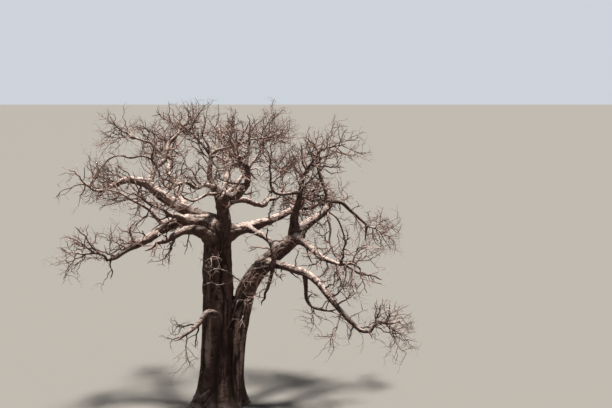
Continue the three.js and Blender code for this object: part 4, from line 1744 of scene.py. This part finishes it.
@dataclass(frozen=True)
class Cloud:
    """Cloudy noise: how fine and how detailed it is, and how much it is drawn out by a lower number."""

    scale: float
    detail: float
    across: float = 1.0
    along: float = 1.0


class Graph:
    """Adds nodes to a node tree and links them."""

    def __init__(self, tree: bpy.types.NodeTree) -> None:
        """Takes the tree of a material, a world or a node group."""
        self.tree = tree

    def put(self, node: bpy.types.Node, key: str | int, value: object) -> None:
        """Links a node's input to a socket, or sets it to a value.

        Args:
            node: The node.
            key: The input's name or number.
            value: The socket or the value.
        """
        if isinstance(value, Socket):
            self.tree.links.new(value, node.inputs[key])
        else:
            node.inputs[key].default_value = value

    def add(self, kind: str, inputs: Inputs | None = None, **settings: object) -> bpy.types.Node:
        """Adds a node.

        Args:
            kind: The node's type.
            inputs: Values or sockets for its inputs, by name or number.
            settings: Values of its properties.

        Returns:
            The node.
        """
        node = self.tree.nodes.new(kind)
        for key, value in settings.items():
            setattr(node, key, value)
        for key, value in (inputs or {}).items():
            self.put(node, key, value)
        return node

    def math(self, operation: str, *values: object) -> Socket:
        """One sum, product or other operation on numbers."""
        return self.add("ShaderNodeMath", dict(enumerate(values)), operation=operation).outputs[0]

    def rise(self, vector: Socket) -> Socket:
        """The part of a vector along Z."""
        return self.add("ShaderNodeSeparateXYZ", {0: vector}).outputs["Z"]

    def noise(self, vector: Socket, cloud: Cloud) -> Socket:
        """Cloudy noise.

        Args:
            vector: The places that it is read at.
            cloud: What it is like.

        Returns:
            A value from 0 to 1.
        """
        scale = (cloud.across, cloud.across, cloud.along)
        place = self.add("ShaderNodeVectorMath", {0: vector, 1: scale}, operation="MULTIPLY").outputs[0]
        inputs = {"Vector": place, "Scale": cloud.scale, "Detail": cloud.detail}
        return self.add("ShaderNodeTexNoise", inputs).outputs["Fac"]

    def ranged(self, value: Socket, low: float, high: float) -> Socket:
        """A value brought smoothly from its own low and high to 0 and 1."""
        inputs = {"Value": value, "From Min": low, "From Max": high}
        return self.add("ShaderNodeMapRange", inputs, interpolation_type="SMOOTHSTEP").outputs[0]

    def mixed(self, share: Socket, first: object, second: object) -> Socket:
        """Two colours mixed.

        Args:
            share: The share of the second.
            first: A socket or a plain colour.
            second: The same.

        Returns:
            The mixed colour.
        """
        colours = [(*colour, 1) if isinstance(colour, tuple) else colour for colour in (first, second)]
        inputs = dict(zip(MIX_INPUTS, (share, *colours)))
        return self.add("ShaderNodeMix", inputs, data_type="RGBA").outputs[MIX_OUTPUT]


class Matt(Graph):
    """A new matt material's graph, with the shader that it feeds."""

    def __init__(self, name: str, roughness: float, specular: float) -> None:
        """Makes the material.

        Args:
            name: Its name.
            roughness: How rough it is.
            specular: How much it shines.
        """
        self.material = bpy.data.materials.new(name)
        self.material.use_nodes = True
        super().__init__(self.material.node_tree)
        self.shader = self.tree.nodes["Principled BSDF"]
        self.put(self.shader, "Roughness", roughness)
        self.put(self.shader, "Specular IOR Level", specular)

    def paint(self, colour: Socket) -> bpy.types.Material:
        """Gives the material its colour and returns it."""
        self.put(self.shader, "Base Color", colour)
        return self.material


@dataclass(frozen=True)
class FoldedBark:
    """The patterns of folded bark: its fine height, the creases that take painted shade, mottle, bare
    patches, and streaks that paint light on raised bark.
    """

    fibres: Cloud = Cloud(34, 5, along=0.16)
    wrinkles: Cloud = Cloud(26, 4, across=0.22)
    bands: Cloud = Cloud(9, 3, across=0.55)
    pores: Cloud = Cloud(60, 2)
    mottle: Cloud = Cloud(2.2, 6)
    patches: Cloud = Cloud(4.2, 5, across=0.8)
    streaks: Cloud = Cloud(1.9, 4, along=0.14)
    fibre_height: float = 0.5  # this and the next two are shares of the bands' height
    wrinkle_height: float = 0.45
    pore_height: float = 0.2
    # Where the relief sinks, and the hollows of the wrinkles and bands, take painted shade.
    sunk: Span = (0.0, 0.11)
    wrinkle_lines: Span = (0.46, 0.3)
    wrinkle_share: float = 0.55
    band_lines: Span = (0.5, 0.3)
    patch: Span = (0.5, 0.64)
    streak: Span = (0.47, 0.6)
    raised: Span = (-0.03, 0.05)

    def build(self) -> bpy.types.NodeTree:
        """Makes the node group.

        Returns:
            The group, which reads where bark lies on its limb and how high it is raised there.
        """
        tree = bpy.data.node_groups.new("folded_bark", "ShaderNodeTree")
        for name, kind in (("Grain", "NodeSocketVector"), ("Relief", "NodeSocketFloat")):
            tree.interface.new_socket(name, in_out="INPUT", socket_type=kind)
        graph = Graph(tree)
        source = graph.add("NodeGroupInput").outputs
        clouds = (self.fibres, self.wrinkles, self.bands, self.pores, self.mottle, self.patches, self.streaks)
        noises = [graph.noise(source["Grain"], cloud) for cloud in clouds]
        fibres, wrinkles, bands, pores, mottle, patches, streaks = noises
        height = graph.math("MULTIPLY", fibres, self.fibre_height)
        height = graph.math("ADD", height, graph.math("MULTIPLY", wrinkles, self.wrinkle_height))
        height = graph.math("ADD", height, graph.math("MULTIPLY", pores, self.pore_height))
        height = graph.math("ADD", height, bands)
        # Painted shade in the sunk relief and in the hollows of the wrinkles and bands.
        sunk = graph.ranged(graph.math("MULTIPLY", source["Relief"], -1), *self.sunk)
        lines = graph.math("MULTIPLY", graph.ranged(wrinkles, *self.wrinkle_lines), self.wrinkle_share)
        crease_shade = graph.math("MAXIMUM", sunk, lines)
        crease_shade = graph.math("MAXIMUM", crease_shade, graph.ranged(bands, *self.band_lines))
        patch = graph.ranged(patches, *self.patch)
        # Streaks on raised bark: partly the bark's own rose colour, partly painted highlight where ridges
        # catch the light.
        raised = graph.ranged(source["Relief"], *self.raised)
        streak = graph.math("MULTIPLY", graph.ranged(streaks, *self.streak), raised)
        outputs = {"Height": height, "CreaseShade": crease_shade, "Mottle": mottle, "Patch": patch, "RidgeLightStreak": streak}
        for name in outputs:
            tree.interface.new_socket(name, in_out="OUTPUT", socket_type="NodeSocketFloat")
        graph.add("NodeGroupOutput", outputs)
        return tree


@dataclass(frozen=True)
class BarkFinish:
    """Matt folded bark, with painted sunlight where it faces up, painted shade in its creases and rose
    streaks low on the trunk, partly painted light on its ridges.
    """

    # The bark's own tones, kept low so that they also stand for painted shade on its sides and undersides.
    body: Colour = (0.165, 0.1, 0.082)
    warm: Colour = (0.12, 0.066, 0.052)
    # The painted sunlight that bark is mixed towards where it faces up.
    pale: Colour = (0.78, 0.645, 0.59)
    dark: Colour = (0.032, 0.018, 0.014)
    rosy: Colour = (0.5, 0.335, 0.29)
    mottle: Span = (0.36, 0.66)
    rosy_rise: Span = (6.2, 4.6)  # the heights between which the rose streaks and their painted ridge light come in
    sky_facing: Span = (0.15, 0.95)  # the upward parts of the normal between which the painted sunlight comes in
    pale_share: float = 0.95
    patch_share: float = 0.75  # what bare patches take away from the painted sunlight
    crease_share: float = 0.8
    roughness: float = 0.86
    specular: float = 0.25
    bump: float = 0.55
    bump_depth: float = 0.02

    def build(self, patterns: bpy.types.NodeTree) -> bpy.types.Material:
        """Makes the material.

        Args:
            patterns: The node group of folded bark.

        Returns:
            The material.
        """
        graph = Matt("bark", self.roughness, self.specular)
        grain = graph.add("ShaderNodeAttribute", attribute_name="grain").outputs["Vector"]
        relief = graph.add("ShaderNodeAttribute", attribute_name="relief").outputs["Fac"]
        bark = graph.add("ShaderNodeGroup", {"Grain": grain, "Relief": relief}, node_tree=patterns).outputs
        colour = graph.mixed(graph.ranged(bark["Mottle"], *self.mottle), self.warm, self.body)
        height = graph.rise(graph.add("ShaderNodeTexCoord").outputs["Object"])
        # Rose streaks low on the trunk, partly painted highlight on its raised ridges.
        streak = graph.math("MULTIPLY", bark["RidgeLightStreak"], graph.ranged(height, *self.rosy_rise))
        colour = graph.mixed(streak, colour, self.rosy)
        facing = graph.rise(graph.add("ShaderNodeNewGeometry").outputs["Normal"])
        # Painted sunlight: bark facing up is mixed towards the pale tone, less so in the bare patches.
        top_light_share = graph.math("MULTIPLY_ADD", bark["Patch"], -self.patch_share, self.pale_share)
        painted_top_light = graph.math("MULTIPLY", graph.ranged(facing, *self.sky_facing), top_light_share)
        colour = graph.mixed(painted_top_light, colour, self.pale)
        # Painted shade in the creases and in the hollows of the wrinkles and bands.
        colour = graph.mixed(graph.math("MULTIPLY", bark["CreaseShade"], self.crease_share), colour, self.dark)
        bump = {"Strength": self.bump, "Distance": self.bump_depth, "Height": bark["Height"]}
        graph.put(graph.shader, "Normal", graph.add("ShaderNodeBump", bump).outputs[0])
        return graph.paint(colour)


@dataclass(frozen=True)
class TwigFinish:
    """Matt thin bark of one tone, slightly mottled."""

    tone: Colour
    shade: float = 0.6  # of the darker patches, as a share of the tone
    patches: Cloud = Cloud(1.4, 3)
    patch: Span = (0.35, 0.65)
    roughness: float = 0.85
    specular: float = 0.2

    def build(self, number: int) -> bpy.types.Material:
        """Makes the material.

        Args:
            number: Its place among the tones.

        Returns:
            The material.
        """
        graph = Matt(f"twig_tone_{number}", self.roughness, self.specular)
        place = graph.add("ShaderNodeTexCoord").outputs["Object"]
        patch = graph.ranged(graph.noise(place, self.patches), *self.patch)
        return graph.paint(graph.mixed(patch, dimmed(self.tone, self.shade), self.tone))


TWIG_TONES = (
    TwigFinish((0.43, 0.29, 0.25)),
    TwigFinish((0.24, 0.146, 0.122)),
    TwigFinish((0.66, 0.535, 0.49)),
    TwigFinish((0.11, 0.066, 0.055)),
    TwigFinish((0.34, 0.212, 0.18)),
)


@dataclass
class Studio:
    """A pale floor, soft light and the camera at the photograph's place."""

    eye: tuple[float, float, float] = (4.0, -37.9, 15.0)
    pitch: float = 8.43
    lens: float = 50.0  # this and the next are in millimetres
    sensor: float = 36.0
    sight: float = 2000.0
    floor_size: float = 900.0
    floor_drop: float = 0.002  # below the flat cut
    floor_tone: Colour = (0.24, 0.233, 0.221)
    floor_bounce: float = 0.55  # how bright its tone is to the light that it throws back
    floor_roughness: float = 0.9
    floor_specular: float = 0.5
    sky_tone: Colour = (0.82, 0.87, 0.95)
    sky_strength: float = 0.12
    seen_strength: float = 0.75  # of the sky as the camera sees it
    sun_strength: float = 6.4
    sun_tone: Colour = (1.0, 0.94, 0.86)
    sun_angle: float = 7.0
    sun_climb: float = 86.0
    sun_heading: float = 40.0
    sun_height: float = 30.0

    def build(self) -> None:
        """Sets up the floor, the lights and the camera."""
        self.lay_floor()
        self.light()
        self.place_camera()

    def lay_floor(self) -> None:
        """Lays the floor just under the tree."""
        deselect_all()
        bpy.ops.mesh.primitive_plane_add(size=self.floor_size, location=(0, 0, -self.floor_drop))
        floor = bpy.context.object
        floor.name = "floor"
        bpy.ops.object.transform_apply(location=True, rotation=True, scale=True)
        graph = Matt("floor", self.floor_roughness, self.floor_specular)
        seen = graph.add("ShaderNodeLightPath").outputs["Is Camera Ray"]
        bounced = dimmed(self.floor_tone, self.floor_bounce)
        floor.data.materials.append(graph.paint(graph.mixed(seen, bounced, self.floor_tone)))

    def light(self) -> None:
        """Adds the pale sky and a sun."""
        bpy.context.scene.view_settings.view_transform = "Standard"
        world = bpy.data.worlds.new("sky")
        bpy.context.scene.world = world
        world.use_nodes = True
        graph = Graph(world.node_tree)
        backdrop = world.node_tree.nodes["Background"]
        seen = graph.add("ShaderNodeLightPath").outputs["Is Camera Ray"]
        strength = graph.math("MULTIPLY_ADD", seen, self.seen_strength - self.sky_strength, self.sky_strength)
        graph.put(backdrop, "Color", (*self.sky_tone, 1))
        graph.put(backdrop, "Strength", strength)
        data = bpy.data.lights.new("sun", "SUN")
        data.energy, data.color, data.angle = self.sun_strength, self.sun_tone, math.radians(self.sun_angle)
        sun = in_scene("sun", data)
        sun.location = (0, 0, self.sun_height)
        sun.rotation_euler = (math.radians(90 - self.sun_climb), 0, math.radians(self.sun_heading + 90))

    def place_camera(self) -> None:
        """Puts the camera where the photograph was taken from."""
        data = bpy.data.cameras.new("camera")
        data.lens, data.sensor_width, data.clip_end = self.lens, self.sensor, self.sight
        camera = in_scene("camera", data)
        camera.location = self.eye
        camera.rotation_euler = (math.radians(90 - self.pitch), 0, 0)
        bpy.context.scene.camera = camera


def main() -> None:
    """Builds the tree and the studio."""
    logging.basicConfig(level=logging.INFO, format="%(name)s: %(message)s")
    limbs = place_limbs()
    stems = {name: Stem(plan, limbs[plan.limb]) for name, plan in MASSES.items()}
    bark = BarkFinish().build(FoldedBark().build())
    tones = [finish.build(number) for number, finish in enumerate(TWIG_TONES)]

    skin = TrunkSkin(limbs).build()
    skin.data.materials.append(bark)
    dress(skin, Slot.BARK, ["trunk", *TRUNK_STEMS])

    boughs = [bough for bough in boughs_of(limbs, stems) if bough.names[0] not in TRUNK_STEMS]
    for bough in boughs:
        piece = bough.build()
        piece.data.materials.append(bark)
        dress(piece, Slot.BARK, [name for name in bough.names if name in LIMBS])

    for name, spray in grow_sprays(limbs, stems, boughs).items():
        piece = spray.build(name)
        for tone in tones:
            piece.data.materials.append(tone)
        mass = name.removeprefix("spray_")
        dress(piece, Slot.TWIGS, [f"twigs_{mass}"] if mass in MASSES else [])

    Studio().build()


if __name__ == "__main__":
    main()
